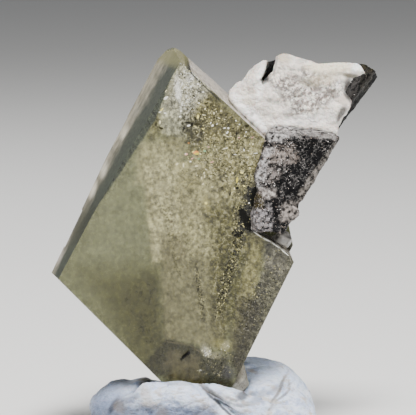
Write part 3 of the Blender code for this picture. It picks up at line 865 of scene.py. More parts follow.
FLECKS = [
    # centre and half size in pixels, turn, number, size and aspect, share of each colour
    ((222, 132), (38, 20), -36, 260, (0.04, 0.14), 3.4, {"pale": 5, "cream": 2, "dark": 7}),
    ((204, 112), (18, 12), -20, 90, (0.05, 0.15), 2.2, {"pale": 3, "dark": 4}),
    ((226, 162), (34, 30), 0, 420, (0.04, 0.13), 3.4, {"pale": 6, "cream": 3, "dark": 6}),
    ((200, 165), (26, 16), 0, 160, (0.03, 0.09), 2.2, {"pale": 8, "dark": 2}),
    ((176, 205), (30, 46), 0, 320, (0.025, 0.07), 1.8, {"pale": 6, "dark": 2}),
    ((190, 84), (13, 22), -12, 240, (0.03, 0.10), 2.4, {"white": 6, "cream": 3, "dark": 2}),
    ((178, 94), (3, 6), 0, 30, (0.05, 0.13), 1.6, {"white": 1}),
    ((244, 200), (12, 40), -8, 420, (0.03, 0.12), 1.8, {"black": 6, "pale": 2}),
    ((255, 197), (4.5, 9), -10, 240, (0.10, 0.22), 1.8, {"black": 1}),
    ((245, 219), (4, 13), 22, 240, (0.08, 0.20), 1.8, {"black": 1}),
    ((238, 234), (6, 4), 0, 60, (0.06, 0.16), 1.8, {"black": 1}),
    ((229, 272), (5, 50), -16, 380, (0.04, 0.14), 2.0, {"black": 7, "dark": 3, "pale": 3}),
    ((200, 293), (2.6, 31), 8, 170, (0.03, 0.11), 2.2, {"black": 4, "dark": 2, "pale": 1}),
    ((171, 238), (3, 46), 12, 100, (0.04, 0.11), 1.8, {"dark": 3, "black": 1}),
    ((262, 290), (13, 56), -26, 480, (0.03, 0.11), 2.0, {"grey": 6, "black": 3, "pale": 1}),
    # white and cream flecks of the painted highlight at the crystal's foot
    ((207, 352), (5, 6), 30, 44, (0.04, 0.12), 1.8, {"white": 3, "cream": 3}),
    ((199, 371), (2, 1.5), 0, 5, (0.05, 0.10), 1.8, {"white": 1, "cream": 1}),
    # white and cream flecks of the painted highlight beside it
    ((225, 347), (5, 4), 0, 10, (0.04, 0.08), 1.4, {"white": 1, "cream": 1}),
    ((222, 364), (16, 14), 0, 160, (0.03, 0.10), 1.8, {"grey": 2, "black": 2, "pale": 1}),
    ((112, 232), (30, 50), 0, 30, (0.02, 0.045), 1.3, {"dark": 1}),
    ((150, 300), (60, 60), 0, 120, (0.02, 0.05), 1.4, {"dark": 1, "pale": 1}),
    ((181.5, 359), (1.6, 1.3), 0, 24, (0.06, 0.12), 1.6, {"black": 1}),
    ((101, 316), (1, 1), 0, 2, (0.07, 0.10), 1.2, {"dark": 1}),
    ((136, 167), (1, 1), 0, 2, (0.06, 0.09), 1.6, {"dark": 1}),
]
# the colours of the flecks and glints; on the glints the bright ones are painted highlights
FLECK_COLOURS = {
    "pale": srgb(182, 174, 124), "white": srgb(226, 226, 216), "dark": srgb(44, 41, 20),
    "yellow": srgb(226, 214, 132), "orange": srgb(222, 152, 84), "pink": srgb(220, 168, 150),
    "green": srgb(130, 172, 132), "black": srgb(12, 12, 8), "grey": srgb(118, 115, 102),
    "gold": srgb(196, 182, 76), "cream": srgb(214, 208, 170),
}
GLINTS = [
    # single bright glints and dark inclusions: middle, length and width in pixels, rise in degrees, colour
    # the bright glints are painted highlights and reflections
    (258, 234.8, 13, 1.3, -36, "white"), (267, 240.1, 11.5, 1.3, -27, "white"),
    (276, 245.5, 12, 1.3, -33, "white"), (284.6, 252.2, 12.5, 1.2, -41, "white"),
    (290.4, 259.5, 8, 1.0, -72, "grey"), (180.5, 72, 13, 0.9, 62, "grey"),
    (216, 92.6, 18, 0.8, -38, "dark"), (176, 82, 9, 0.8, 66, "grey"), (166, 98, 5.5, 2.6, 35, "white"),
    (178, 97, 4, 2.6, 0, "white"), (161.5, 110, 6.5, 1.6, 52, "yellow"), (160, 112, 3, 1.2, 30, "white"),
    (165, 113, 3, 1.6, 0, "white"), (181, 111, 2.6, 2.4, 80, "white"), (180, 116.5, 3, 1.6, 10, "white"),
    (182, 104, 1.4, 5, 0, "white"), (160, 122, 2, 4, 0, "cream"), (156, 124, 4, 2, 60, "dark"),
    (161, 128, 5, 2.2, -20, "dark"), (198, 116.5, 2.2, 4.6, -12, "yellow"),
    (204, 115, 5, 1.4, -12, "cream"), (188.5, 125.5, 4, 2, 8, "white"), (188, 122.6, 5, 1.2, 4, "black"),
    (192, 125, 2, 4.4, 0, "black"), (184, 128, 1.6, 6, 0, "black"), (197, 124, 7, 1.6, 0, "dark"),
    (195.5, 127, 6, 1.4, -24, "pale"), (203, 129, 3.4, 1.4, -34, "yellow"),
    (212.5, 125.5, 2.6, 2.4, 20, "white"), (210.6, 123, 2, 1.4, 60, "white"),
    (217, 124, 2.4, 0.9, 40, "white"), (224.6, 128, 2.8, 1.6, 10, "white"),
    (228.3, 128, 2.4, 2.0, 0, "white"), (227.3, 132.6, 3.6, 2.0, 58, "white"),
    (224.3, 134.6, 3, 0.8, -50, "cream"), (227.6, 136.6, 4, 0.9, -16, "cream"),
    (231, 136.4, 2.4, 0.9, 20, "cream"), (214, 135, 3.2, 1.1, 32, "pale"),
    (205, 108.5, 2.8, 1.0, 40, "cream"), (221, 111, 2.2, 2.0, 0, "cream"),
    (236, 120.6, 2.2, 1.4, -30, "white"), (239.4, 124.4, 1.6, 1.3, 0, "white"),
    (237, 134, 1.8, 3.6, 10, "black"), (247, 126, 5, 3.4, 20, "dark"), (246, 132, 2.4, 1.1, 20, "white"),
    (239, 137.6, 1.8, 1.4, 0, "pink"), (252.4, 137.4, 3.4, 1.0, 30, "pink"),
    (253, 144, 2, 1.8, 0, "cream"), (225.2, 148.5, 7, 1.1, 17, "cream"),
    (226.6, 148.1, 3, 0.7, 17, "white"), (244, 150, 1.6, 2.4, 0, "white"),
    (216.6, 149.6, 1, 2.6, -10, "cream"), (226, 153.4, 2.6, 0.9, 8, "cream"),
    (229, 156, 0.9, 4, -8, "cream"), (235, 154.4, 3.2, 0.9, 0, "white"), (256, 153.2, 5, 1.1, 4, "white"),
    (188.6, 143, 2.2, 0.9, 0, "orange"), (186.2, 154.2, 3.6, 2.6, 12, "pink"),
    (185.4, 153.6, 1.6, 1.2, 0, "white"), (196, 152.4, 7, 3.4, 0, "orange"),
    (197, 153.8, 5.6, 2.2, 6, "gold"), (193, 151.6, 3, 1.6, 30, "yellow"),
    (204.6, 151, 3.2, 1.8, 0, "green"), (208.6, 147, 2.2, 1.1, 0, "pink"),
    (192.2, 158.4, 3.2, 1.3, 20, "pink"), (212, 162, 4, 1.3, 22, "pink"),
    (198.6, 158.8, 3, 0.9, 0, "green"), (177, 164, 3.8, 2.2, 24, "cream"),
    (183.4, 165.4, 1.8, 5, 0, "cream"), (196.4, 166, 4, 1.6, 0, "cream"),
    (190.4, 161.6, 2.2, 1.6, 0, "white"), (206, 169.4, 3.6, 1.0, -34, "cream"),
    (204, 173, 1.4, 3.2, -16, "cream"), (241.6, 172.6, 4, 2.4, -20, "yellow"),
    (237, 180, 2, 6, -10, "gold"), (201.4, 178, 1.3, 3.2, 10, "cream"), (211, 176, 2, 1.3, 0, "cream"),
    (244, 186, 3.2, 1.6, -24, "yellow"), (234.4, 188.4, 1.2, 3.4, 0, "cream"),
    (237.2, 188, 4, 2.6, 0, "black"), (248, 187, 1.8, 4.6, -30, "black"),
    (230, 194, 1.8, 5, -14, "black"), (222, 187, 3, 1.6, 20, "dark"), (189, 185.6, 9, 0.5, 52, "pale"),
    (183, 182, 8, 0.5, 8, "pale"), (249, 203, 2, 1.6, 0, "white"), (166, 91, 3, 1.2, 60, "cream"),
    (186, 66, 3, 1.0, 30, "white"), (192, 79, 4, 1.4, -40, "white"), (182, 84, 1.6, 5, -10, "white"),
    (198, 84, 3.4, 1.4, -20, "white"), (203, 92, 3, 1.6, 0, "white"), (194, 96, 4, 1.2, -30, "dark"),
    (208, 99, 3, 1.2, 20, "dark"), (199, 103, 2.6, 1.2, 0, "white"), (192, 109, 3, 1.2, 30, "dark"),
    (214, 113, 2, 2.6, 0, "cream"), (232, 117, 2, 1.2, -40, "dark"), (219, 118, 3, 1.0, -30, "cream"),
    (207, 121, 2.6, 1.2, 10, "pale"), (241, 130, 2, 2.6, 0, "dark"), (232, 142, 3, 1.0, 20, "cream"),
    (243, 142, 2.4, 1.2, -30, "dark"), (237, 146, 1.2, 2.8, 10, "dark"), (248, 157, 3, 1.2, 30, "cream"),
    (240, 162, 2.6, 1.6, 0, "dark"), (231, 166, 1.2, 3.6, 14, "dark"), (223, 166, 3, 1.4, 30, "dark"),
    (219, 170, 3.4, 1.6, 0, "dark"), (226, 176, 2.4, 1.0, -20, "cream"), (246, 177, 3, 1.2, 14, "cream"),
    (250, 168, 2, 1.4, 0, "cream"), (233, 173, 1.2, 2.6, 0, "cream"), (212, 187, 2.4, 1.4, 0, "cream"),
    (203, 184, 2.6, 1.2, 20, "cream"), (206, 203, 3, 3, 0, "yellow"),
]


def lay_glint(bm, place, normal, length, width, rise, slot, dice):
    """One long ragged plate whose long way rises by an angle above the model's X."""
    turn = (-normal).to_track_quat("Z", "Y").to_matrix()
    across = Vector((1, 0, 0)) - normal * normal.x
    upward = Vector((0, 0, 1)) - normal * normal.z
    long_way = (across * math.cos(rise) + upward * math.sin(rise)).normalized()
    short_way = long_way.cross(turn.col[2]).normalized()
    count = 9
    rim = []
    for corner in range(count):
        around = math.tau * corner / count
        along = math.cos(around) * length * dice.uniform(0.75, 1.05)
        aside = math.sin(around) * width * dice.uniform(0.7, 1.1)
        rim.append(bm.verts.new(place + long_way * along + short_way * aside))
    face = bm.faces.new(rim)
    face.material_index = slot


def build_flecks(crystal):
    """The flecks and specks just under the crystal's front face."""
    dice = random.Random(41)
    tree = BVHTree.FromObject(crystal, bpy.context.evaluated_depsgraph_get())
    camera = camera_place()[0]
    names = list(FLECK_COLOURS)
    bm = bmesh.new()
    # the bright glints are painted highlights and reflections; the dark ones are inclusions
    for count, (px, py, length, width, rise, shade) in enumerate(GLINTS):
        place, normal, _, _ = tree.ray_cast(camera, seen_at(px, py) - camera)
        if place is None or normal.y > -0.9:
            continue
        spot = place + normal * (FLECK_PROUD * 1.4 + GLINT_STEP * count)
        half = (length * PIXEL / 2, width * PIXEL / 2)
        lay_glint(bm, spot, normal, *half, math.radians(rise), names.index(shade), dice)
    for centre, half, turn, number, sizes, aspect, shares in FLECKS:
        lean = math.radians(turn)
        for _ in range(number):
            reach = math.sqrt(dice.random()) * dice.uniform(0.8, 1.1)
            angle = dice.uniform(0, math.tau)
            across = half[0] * reach * math.cos(angle)
            down = half[1] * reach * math.sin(angle)
            px = centre[0] + across * math.cos(lean) + down * math.sin(lean)
            py = centre[1] - across * math.sin(lean) + down * math.cos(lean)
            place, normal, _, _ = tree.ray_cast(camera, seen_at(px, py) - camera)
            if place is None or normal.y > -0.9:
                continue
            shade = dice.choices(list(shares), weights=list(shares.values()))[0]
            size = dice.uniform(*sizes) * MM
            spot = place + normal * FLECK_PROUD
            lay_fleck(bm, spot, normal, size, dice.uniform(1, aspect), 0.0, names.index(shade), dice)
    materials = [fleck_material(name, FLECK_COLOURS[name]) for name in names]
    flecks = add_mesh("herderite_flecks", bm, materials)
    dress(flecks, "herderite")


def close_needle_pocket(bm):
    """Fill the CAD's clearance round the needle, so that the front face is whole."""
    low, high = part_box("schorl_needle")
    middle = (Vector(low) + Vector(high)) / 2
    inside = [
        face for face in bm.faces
        if (face.calc_center_median() - middle).length < POCKET_REACH and abs(face.normal.y + 0.99) > 0.03
    ]
    bmesh.ops.delete(bm, geom=inside, context="FACES")
    bmesh.ops.holes_fill(bm, edges=[edge for edge in bm.edges if edge.is_boundary])


CRUST_TOP = [
    # the crust's upper outline in pixels
    (222, 97), (228, 92), (234, 85.5), (240, 79.5), (250, 69.5), (256, 62.5), (260, 59), (265, 57.5),
    (270, 57.5), (280, 54.5), (284, 53.5), (290, 54.5), (296, 57), (311, 61), (318, 64), (326, 63.5),
    (340, 62.5), (357, 63.5), (361, 66), (366, 75), (372, 84),
]


def crust_ceiling(px):
    """The upper outline's height at a pixel column."""
    for (left, high), (right, next_high) in zip(CRUST_TOP, CRUST_TOP[1:]):
        if left <= px < right:
            return high + (next_high - high) * (px - left) / (right - left)
    return 0.0


def build_schorl_short():
    """The short prism: frosted and furrowed."""
    skin = remeshed(copy_of("schorl_short"), SHORT_PRISM_VOXEL)
    trees = neighbours("herderite_crystal", "albite_crust", "schorl_long")

    def swell(vert):
        rough = 0.09 * lumps(vert.co, 0.45, 3) + 0.14 * lumps(vert.co, 1.6, 7)
        px, py = pixel_of(vert.co)
        if vert.normal.x > 0.2:
            rough += 0.45 * math.exp(-((px - 294) / 5) ** 2 - ((py - 214) / 7) ** 2)
        return swelling(vert.co, trees) * 0.8 + rough * MM

    push(skin, swell)
    piece = add_mesh("schorl_short_prism", skin, [SCHORL_MICA], smooth=True)
    dress(piece, "schorl", "schorl_short")
    return piece


def build_schorl_long():
    """The long prism behind, striated, with a rough broken end."""
    skin = remeshed(copy_of("schorl_long"), LONG_PRISM_VOXEL)
    trees = neighbours("herderite_crystal", "albite_crust", "schorl_short")

    def swell(vert):
        rough = 0.08 * lumps(vert.co, 0.5, 5) + 0.08 * lumps(vert.co, 1.9, 2)
        return swelling(vert.co, trees) * 0.5 + rough * MM

    push(skin, swell)
    for vert in skin.verts:
        px, py = pixel_of(vert.co)
        low = crust_ceiling(px) + 4
        if py < low and px < 358:
            vert.co.z -= (low - py) * PIXEL
    skin.normal_update()
    piece = add_mesh("schorl_long_prism", skin, [SCHORL_LONG], smooth=True)
    dress(piece, "schorl", "schorl_long")
    return piece


MICA_COLOURS = {
    "mica_silver": srgb(216, 211, 208), "mica_grey": srgb(70, 67, 66), "mica_pink": srgb(158, 144, 135),
}
MICA_WEIGHTS = (3, 5, 4)


def mica_share(px, py):
    """How thickly mica lies on the short prism: most on its left half, little on its right."""
    border = 297 - max(0, py - 160) * 0.85
    if 140 < py < 205:
        return 0.75 if px < border else 0.07
    return 0.75 if py >= 205 and px < 268 else 0.3


def build_mica(prism, name, number, share, seed):
    """Silvery flakes strewn over a prism, thick where the share is high."""
    dice = random.Random(seed)
    mesh = prism.data
    areas = [face.area for face in mesh.polygons]
    names = list(MICA_COLOURS)
    bm = bmesh.new()
    for face in dice.choices(mesh.polygons, weights=areas, k=number):
        if dice.random() > share(*pixel_of(face.center)):
            continue
        size = dice.uniform(0.03, 0.13) * MM
        spot = face.center + face.normal * 0.03 * MM
        slot = dice.choices(range(len(names)), weights=MICA_WEIGHTS)[0]
        lay_fleck(bm, spot, face.normal, size, dice.uniform(1, 3.6), 0.9, slot, dice)
    materials = [fleck_material(shade, MICA_COLOURS[shade]) for shade in names]
    flakes = add_mesh(name, bm, materials)
    dress(flakes, "schorl")


def build_crust():
    """The sugary crust: blocky small grains heaped into lumps."""
    skin = remeshed(copy_of("albite_crust"), CRUST_VOXEL)
    trees = neighbours("herderite_crystal", "schorl_short", "schorl_long")

    def swell(vert):
        grains = noise.voronoi(vert.co / (0.62 * MM))[0]
        crumbs = noise.voronoi(vert.co / (0.3 * MM) + Vector((7, 3, 1)))[0]
        height = 0.16 * (0.5 - grains[0]) + 0.07 * (0.5 - crumbs[0])
        return swelling(vert.co, trees) + height * MM + 0.12 * MM * lumps(vert.co, 1.3, 6)

    push(skin, swell)
    for vert in skin.verts:
        px, py = pixel_of(vert.co)
        low = crust_ceiling(px) + 0.5 * lumps(vert.co, 0.5, 8)
        if py < low:
            vert.co.z -= (low - py) * PIXEL
        high_up = within_one((86 - py) / 14)
        vert.co.x += SLOT_SHIFT * high_up * math.exp(-((px - 268) / 9) ** 2)
    skin.normal_update()
    piece = add_mesh("albite_sugar_crust", skin, [ALBITE], smooth=True)
    dress(piece, "albite", "albite_crust")


PUTTY_WRINKLES = [
    # points in pixels, depth and half width in millimetres
    ([(107, 416), (114, 407), (128, 398), (146, 391), (166, 386)], 0.3, 0.3),
    ([(196, 382), (205, 390), (214, 397), (224, 404), (238, 415)], 0.6, 0.26),
    ([(199, 382), (212, 387), (224, 392), (236, 396)], 0.2, 0.15),
    ([(202, 386), (214, 391), (224, 396), (236, 401)], 0.24, 0.14),
    ([(208, 391), (217, 396), (228, 402), (242, 408)], 0.24, 0.15),
    ([(216, 384), (226, 389), (240, 393)], 0.16, 0.15),
    ([(240, 392), (256, 397), (276, 402), (296, 404)], 0.4, 0.36),
    ([(270, 403), (278, 394), (290, 384)], 0.26, 0.17),
    ([(273, 403), (283, 397), (294, 391)], 0.2, 0.15),
    ([(270, 399), (275, 391), (281, 384)], 0.16, 0.14),
    ([(249, 369), (262, 366), (276, 368)], 0.2, 0.26),
    ([(150, 414), (158, 406), (168, 402), (180, 404)], 0.3, 0.3),
    ([(124, 412), (132, 404), (142, 400)], 0.2, 0.2),
    ([(176, 412), (190, 404), (204, 402)], 0.18, 0.2),
    ([(100, 402), (108, 394), (118, 390)], 0.14, 0.2),
    ([(262, 412), (280, 409), (300, 410)], 0.2, 0.18),
    ([(238, 405), (254, 409), (270, 410)], 0.16, 0.14),
]


def crease_at(seen, creases):
    """How deep the creases are at a pixel of the picture."""
    depth = 0.0
    for points, deepest, half_width in creases:
        nearest = 1e9
        for start, end in zip(points, points[1:]):
            along = end - start
            share = within_one((seen - start).dot(along) / along.length_squared)
            nearest = min(nearest, (seen - start - along * share).length / half_width)
        if nearest < 3:
            depth += deepest * math.exp(-nearest * nearest)
    return depth


def build_putty():
    """The putty: soft folds with wrinkles and fine stretch marks."""
    skin = remeshed(copy_of("putty_stand"), PUTTY_VOXEL)
    creases = []
    for points, depth, half_width in PUTTY_WRINKLES:
        creases.append(([Vector(point) for point in points], depth, half_width * MM / PIXEL))

    def swell(vert):
        if vert.co.z < PUTTY_FOOT:
            return 0.0
        height = 0.24 + 0.16 * lumps(vert.co, 2.6, 21) + 0.09 * lumps(vert.co, 1.1, 9)
        bent = vert.co + Vector((1, 1, 1)) * (0.5 * MM * lumps(vert.co, 1.6, 4))
        stretched = Vector((bent.x * 0.5, bent.y * 0.6, bent.z * 1.6))
        height += 0.06 * lumps(stretched, 0.45, 12) + 0.03 * lumps(vert.co, 0.3, 5)
        px, py = pixel_of(vert.co)
        height -= 0.5 * within_one((112 - px) / 16)
        if vert.normal.z > 0.2:
            height += 0.6 * math.exp(-((px - 143) / 9) ** 2 - ((py - 386) / 5) ** 2)
        if vert.normal.y < 0.3:
            height -= crease_at(Vector((px, py)), creases)
        return max(-0.5, height) * MM

    push(skin, swell)
    piece = add_mesh("putty_lump", skin, [PUTTY], smooth=True)
    dress(piece, "putty", "putty_stand")


GRAIN_PLACE = seen_at(276, 234, -3.0 * MM)


def build_small_pieces():
    """The grey grain, the matrix chip and the needle."""
    for node_name, material, slot, voxel, rough in (
        ("quartz_grain", QUARTZ, "quartz", 0.12, 0.05),
        ("matrix_chip", MATRIX, "matrix", 0.14, 0.12),
    ):
        skin = remeshed(copy_of(node_name), voxel * MM)
        trees = neighbours("herderite_crystal", "schorl_short", "putty_stand")
        push(skin, lambda vert: swelling(vert.co, trees) + rough * MM * lumps(vert.co, 0.6, 4))
        if node_name == "quartz_grain":
            for vert in skin.verts:
                vert.co = GRAIN_PLACE + (vert.co - GRAIN_PLACE) * GRAIN_SHRINK
        piece = add_mesh(f"{node_name}_piece", skin, [material], smooth=True)
        dress(piece, slot, node_name)
    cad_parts["schorl_needle"].data.materials.clear()
    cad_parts["schorl_needle"].data.materials.append(SCHORL)


# Other materials

def fleck_material(name, colour):
    """A small glossy fleck of one colour with a faint mottle."""
    material, tree, shader = start_material(name, {"Roughness": 0.4, "Specular IOR Level": 0.12})
    darker = (colour[0] * 0.7, colour[1] * 0.7, colour[2] * 0.7, 1)
    shade = mix_colours(tree, mottle(tree, millimetres(tree), 1.5, 2.0), colour, darker)
    tree.links.new(shade, shader.inputs["Base Color"])
    return material


MICA_ZONES = {
    # name, four corners in pixels, pale and dark tint, strength, softness and raggedness in mm, streaky
    "top_rim": (
        ((270, 128), (300, 122), (338, 134), (336, 141)), (150, 147, 146), (14, 14, 14), 0.92, 0.12, 0.5,
        True,
    ),
    "top_rim_left": (
        ((266, 130), (292, 122), (300, 137), (270, 143)), (176, 173, 172), (24, 23, 24), 0.9, 0.3, 1.4,
        False,
    ),
    "under_rim": (
        ((284, 138), (336, 141), (332, 148), (290, 147)), (10, 10, 10), (2, 2, 2), 0.95, 0.2, 1.0, False,
    ),
    "mauve_top": (
        ((264, 149), (294, 144), (298, 160), (262, 168)), (134, 124, 117), (16, 15, 15), 0.92, 0.3, 2.4,
        False,
    ),
    "mauve_low": (
        ((258, 162), (290, 160), (278, 178), (254, 188)), (126, 119, 116), (16, 15, 15), 0.9, 0.35, 2.6,
        False,
    ),
    "silver_edge": (
        ((266, 148), (273, 148), (260, 192), (248, 190)), (190, 188, 188), (26, 25, 24), 0.8, 0.3, 1.8,
        False,
    ),
    "silver_knob": (
        ((258, 188), (275, 189), (276, 197), (262, 199)), (190, 183, 178), (86, 80, 77), 0.85, 0.3, 1.4,
        False,
    ),
    "low_left": (
        ((248, 208), (268, 205), (274, 232), (248, 232)), (142, 138, 140), (22, 21, 23), 0.85, 0.4, 2.4,
        False,
    ),
    "low_right": (
        ((286, 202), (304, 202), (296, 228), (280, 220)), (160, 151, 145), (26, 25, 24), 0.85, 0.4, 2.2,
        False,
    ),
    "right_strip": (
        ((342, 143), (334, 143), (294, 198), (304, 204)), (122, 116, 110), (24, 22, 21), 0.9, 0.2, 0.9,
        False,
    ),
    "olive_lobe": (
        ((254, 192), (262, 194), (264, 208), (252, 208)), (60, 53, 22), (26, 22, 7), 0.95, 0.2, 0.7,
        False,
    ),
    "dark_arch": (
        ((273, 223), (289, 223), (290, 232), (272, 232)), (24, 24, 26), (4, 4, 5), 0.92, 0.2, 0.6, False,
    ),
}


LONG_ZONES = {
    # name, four corners in pixels, pale and dark tint, strength, softness and raggedness in mm, streaky
    "blobs": (
        ((346, 80), (370, 78), (360, 102), (344, 102)), (84, 80, 78), (1, 1, 1), 0.7, 0.4, 1.6, False,
    ),
    "olive_tip": (
        ((364, 64), (380, 68), (370, 96), (362, 92)), (52, 49, 37), (2, 2, 2), 0.85, 0.3, 1.2, False,
    ),
    "edge_strip": (
        ((380, 76), (370, 76), (332, 132), (340, 134)), (60, 57, 55), (3, 3, 3), 0.6, 0.3, 1.0, False,
    ),
}


def schorl_material(name, zones, thread_share):
    """Black tourmaline with a frosted, faintly striated skin and mica dust in zones."""
    material, tree, shader = start_material(name, {"IOR": 1.63, "Specular IOR Level": 0.06})
    place = millimetres(tree)
    frost = mottle(tree, place, 3.0, 2.6)
    patchy = mottle(tree, place, 1.2, 4.0)
    colour = mix_colours(tree, ramp_between(tree, frost, 0.45, 1.0), srgb(3, 3, 4), srgb(24, 24, 25))
    where = ramp_between(tree, patchy, 0.4, 0.9, 0.0, thread_share)
    colour = painted(tree, colour, threads(tree, place, 1.8, 0.16), where, srgb(96, 93, 92))
    speckle = mottle(tree, place, 2.0, 7.0)
    furrow = mottle(tree, place, 2.2, 6.0, (0.45, 1.0, 3.0))
    for corners, pale, dark, strength, softness, raggedness, streaky in zones.values():
        mask = sector(tree, place, corners, softness, raggedness)
        tint = mix_colours(tree, furrow if streaky else speckle, srgb(*dark), srgb(*pale))
        colour = painted(tree, colour, mask, strength, tint)
    where = ramp_between(tree, patchy, 0.35, 0.8, 0.0, thread_share)
    colour = painted(tree, colour, threads(tree, place, 2.4, 0.07), where, srgb(206, 201, 198))
    tree.links.new(colour, shader.inputs["Base Color"])
    tree.links.new(ramp_between(tree, frost, 0.2, 0.8, 0.28, 0.6), shader.inputs["Roughness"])
    bump(tree, shader, frost, 0.6, 0.08 * MM)
    return material


CRUST_HEART = ((268, 80), (316, 70), (350, 92), (300, 126))
CRUST_PATCHES = {
    # name, centre and half size in pixels, turn in degrees, colour and strength
    "white_border": ((251, 118), (6, 28), 42, (254, 252, 250), 0.9),
    "white_ridge": ((261, 84), (4, 18), -6, (254, 252, 249), 0.9),
    "cream_top": ((330, 69), (22, 6), 0, (238, 226, 196), 0.7),
    "cream_under": ((322, 82), (18, 6), 12, (190, 178, 152), 0.6),
    "tan_top": ((284, 60), (8, 5), -20, (176, 162, 134), 0.6),
    "grey_top": ((305, 62), (8, 3), 24, (172, 168, 162), 0.6),
    "pale_foot": ((306, 122), (30, 5), 4, (250, 246, 243), 0.6),
    "tan_spot": ((253, 94), (4, 3), 0, (196, 184, 166), 0.6),
    "tan_streak": ((247, 105), (8, 2.4), -12, (190, 180, 156), 0.6),
    "grey_spot": ((252, 117), (2, 2.4), 0, (150, 147, 142), 0.7),
    "white_corner": ((359, 70), (6, 5), 24, (254, 254, 254), 0.95),
    "olive_edge": ((352, 78), (9, 2.4), -12, (88, 84, 62), 0.85),
    # the slot and its end are painted shade in the groove
    "slot": ((270.5, 69), (3.4, 15), -19, (46, 46, 44), 0.97),
    "slot_end": ((265.5, 82), (5, 2.2), -6, (70, 70, 69), 0.9),
    "dark_side": ((351, 93), (4, 12), 8, (26, 25, 22), 0.9),
    "dark_side_low": ((343, 116), (3.4, 9), -24, (40, 38, 35), 0.8),
    "pink_knob": ((345, 103), (5, 5), 0, (214, 198, 184), 0.6),
}


def albite_material():
    """White to cream sugary albite, greyer and pitted in the middle; painted shade in pits and slot."""
    material, tree, shader = start_material(
        "albite_sugar", {"Roughness": 0.62, "Subsurface Weight": 0.15, "Subsurface Scale": 0.3 * MM},
    )
    place = millimetres(tree)
    sugar = mottle(tree, place, 2.4, 4.0)
    blotch = mottle(tree, place, 1.5, 4.5)
    spread = ramp_between(tree, sector(tree, place, CRUST_HEART, 1.2, 2.0), 0.0, 1.0, 0.16, 0.9)
    colour = mix_colours(tree, mottle(tree, place, 0.6, 2.0), srgb(244, 239, 234), srgb(236, 226, 212))
    colour = painted(tree, colour, ramp_between(tree, blotch, 0.75, 0.2), spread, srgb(150, 142, 136))
    # painted shade: the pits, the low hollows of the sugar bump, darkened to grey
    colour = painted(tree, colour, ramp_between(tree, sugar, 0.62, 0.1), spread, srgb(112, 104, 98))
    colour = with_ovals(tree, place, colour, CRUST_PATCHES, 0.5, 0.5)
    tree.links.new(colour, shader.inputs["Base Color"])
    bump(tree, shader, sugar, 0.8, 0.16 * MM)
    return material


def quartz_material():
    """Grey see-through grain."""
    material, tree, shader = start_material(
        "quartz_grey", {"Roughness": 0.18, "IOR": 1.54, "Transmission Weight": 0.35},
    )
    cloud = mottle(tree, millimetres(tree), 1.4, 2.0)
    colour = mix_colours(tree, cloud, srgb(176, 172, 164), srgb(112, 108, 102))
    tree.links.new(colour, shader.inputs["Base Color"])
    bump(tree, shader, cloud, 0.3, 0.05 * MM)
    return material


def matrix_material():
    """Dull tan rock with dark grains."""
    material, tree, shader = start_material("matrix_rock", {"Roughness": 0.8})
    place = millimetres(tree)
    cloud = mottle(tree, place, 1.6, 2.4)
    grains = use_group(tree, SPECKS, {"Place": place, "Scale": 4.0, "Amount": 0.3, "Radius": 0.45})["Mask"]
    colour = mix_colours(tree, cloud, srgb(204, 197, 176), srgb(116, 109, 94))
    tree.links.new(mix_colours(tree, grains, colour, srgb(66, 60, 48)), shader.inputs["Base Color"])
    bump(tree, shader, cloud, 0.7, 0.12 * MM)
    return material


# the low front of the putty, where painted shade lies in streaks
PUTTY_LOW_SHADE = ((80, 403), (214, 401), (250, 470), (80, 470))
PUTTY_PATCHES = {
    # name, centre and half size in pixels, turn in degrees, colour and strength
    # painted shade: the ones named shade, and left_top, crease_foot, fold_line, fold_line_low, dome_foot
    "left_shade": ((104, 396), (26, 16), 0, (116, 130, 160), 0.75),
    "left_top": ((112, 386), (16, 4), 0, (96, 104, 124), 0.4),
    "crease_shade": ((126, 400), (2.4, 24), -62, (84, 92, 112), 0.6),
    "crease_foot": ((113, 407), (3, 8), -34, (40, 46, 60), 0.8),
    "brown_blotch": ((163, 409), (6, 6), 0, (112, 108, 108), 0.6),
    "brown_side": ((120, 406), (6, 6), 0, (120, 114, 110), 0.6),
    "beige_top": ((146, 392), (12, 5), -64, (188, 182, 176), 0.6),
    "fold_shade": ((219, 401), (1.3, 25), 48, (44, 47, 56), 0.9),
    "fold_tan": ((209, 388), (2.4, 13), 62, (132, 122, 106), 0.75),
    "fold_tan_low": ((216, 394), (0.9, 13), 62, (104, 96, 86), 0.7),
    "fold_line": ((224, 401), (0.8, 12), 64, (96, 94, 94), 0.7),
    "fold_line_low": ((232, 405), (0.8, 10), 62, (110, 112, 118), 0.6),
    # a painted highlight on the fold's ridge
    "fold_ridge": ((230, 397), (4, 14), 62, (220, 218, 214), 0.5),
    "foot_shade": ((186, 381), (24, 1.6), 0, (120, 120, 120), 0.4),
    "chip_shade": ((243, 392), (8, 4), 20, (44, 46, 52), 0.8),
    "dome_grey": ((256, 363), (16, 5), 0, (132, 142, 162), 0.5),
    "dome_tan": ((297, 374), (5, 20), 38, (186, 178, 166), 0.6),
    "dome_foot": ((262, 396), (20, 3), 12, (122, 132, 152), 0.6),
    "fan_shade": ((279, 395), (1.6, 13), -42, (104, 98, 92), 0.75),
    "fan_side": ((284, 398), (1.3, 11), -60, (120, 114, 106), 0.6),
    "dome_blue": ((268, 378), (14, 9), 0, (196, 212, 240), 0.5),
}


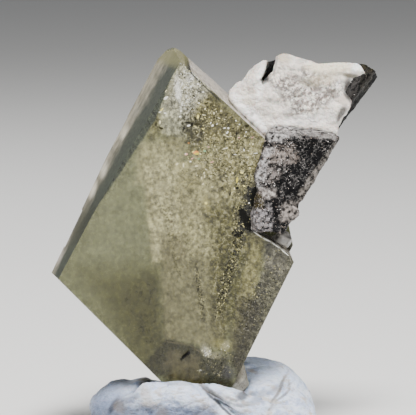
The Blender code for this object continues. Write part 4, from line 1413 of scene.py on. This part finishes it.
def putty_material():
    """Pale blue putty with kneaded beige mottling, grey painted shade in its creases and low front."""
    material, tree, shader = start_material(
        "putty_blue", {"Roughness": 0.55, "Subsurface Weight": 0.1, "Subsurface Scale": 0.4 * MM},
    )
    place = millimetres(tree)
    beige = mottle(tree, place, 0.62, 3.4, (0.8, 1.0, 1.4))
    blue = mottle(tree, vector_step(tree, "ADD", place, (31, 7, 12)), 0.8, 3.6)
    wrinkle = mottle(tree, place, 2.2, 3.0, (0.7, 1.0, 1.5))
    colour = mix_colours(tree, mottle(tree, place, 0.3, 2.6), srgb(204, 220, 250), srgb(238, 244, 254))
    colour = mix_colours(tree, ramp_between(tree, beige, 0.55, 1.0, 0.0, 0.8), colour, srgb(192, 184, 172))
    colour = mix_colours(tree, ramp_between(tree, blue, 0.5, 0.0, 0.0, 0.6), colour, srgb(150, 170, 212))
    # painted shade: the creases of the wrinkle bump darkened to grey
    colour = mix_colours(tree, ramp_between(tree, wrinkle, 0.4, 0.0, 0.0, 0.4), colour, srgb(124, 130, 144))
    # painted shade on the low front, streaked, strongest towards the front
    depth = coordinate(tree, place, "Y")
    low = sector(tree, place, PUTTY_LOW_SHADE, 0.8, 2.4)
    low = calculate(tree, "MULTIPLY", low, ramp_between(tree, depth, -1.0, -5.0))
    shade_streaks = mix_colours(tree, wrinkle, srgb(34, 42, 64), srgb(96, 112, 144))
    colour = painted(tree, colour, low, 0.85, shade_streaks)
    seen = ramp_between(tree, depth, 9.0, 6.0)
    colour = with_ovals(tree, place, colour, PUTTY_PATCHES, 0.5, 0.8, seen)
    tree.links.new(colour, shader.inputs["Base Color"])
    bump(tree, shader, wrinkle, 0.7, 0.22 * MM)
    return material


PATCH = make_patch_group()
SPECKS = make_speck_group()
MOTTLE = make_mottle_group()
SECTOR = make_sector_group()
NET = make_net_group()
HERDERITE = herderite_material("herderite_milky", SMOOTH_GREEN, 0.3, 0.2, 0.15, herderite_colour, 0.06)
# the left side's material, with its painted dark reflection and painted highlights
HERDERITE_SIDE = herderite_material(
    "herderite_side", srgb(176, 168, 150), 0.1, 0.45, 0.08, side_colour, 0.04,
)
HERDERITE_FROSTED = herderite_material(
    "herderite_frosted", srgb(214, 206, 196), 0.12, 0.55, 0.15, band_colour, 0.1,
)
SCHORL = schorl_material("schorl_black", {}, 0.1)
SCHORL_LONG = schorl_material("schorl_rough", LONG_ZONES, 0.05)
SCHORL_MICA = schorl_material("schorl_with_mica", MICA_ZONES, 0.3)
ALBITE = albite_material()
QUARTZ = quartz_material()
MATRIX = matrix_material()
PUTTY = putty_material()

make_camera()
make_studio()
build_flecks(build_herderite())
build_mica(build_schorl_short(), "mica_flakes", 15000, mica_share, 5)
build_mica(build_schorl_long(), "mica_specks", 900, lambda px, py: 0.7, 9)
build_crust()
build_putty()
build_small_pieces()
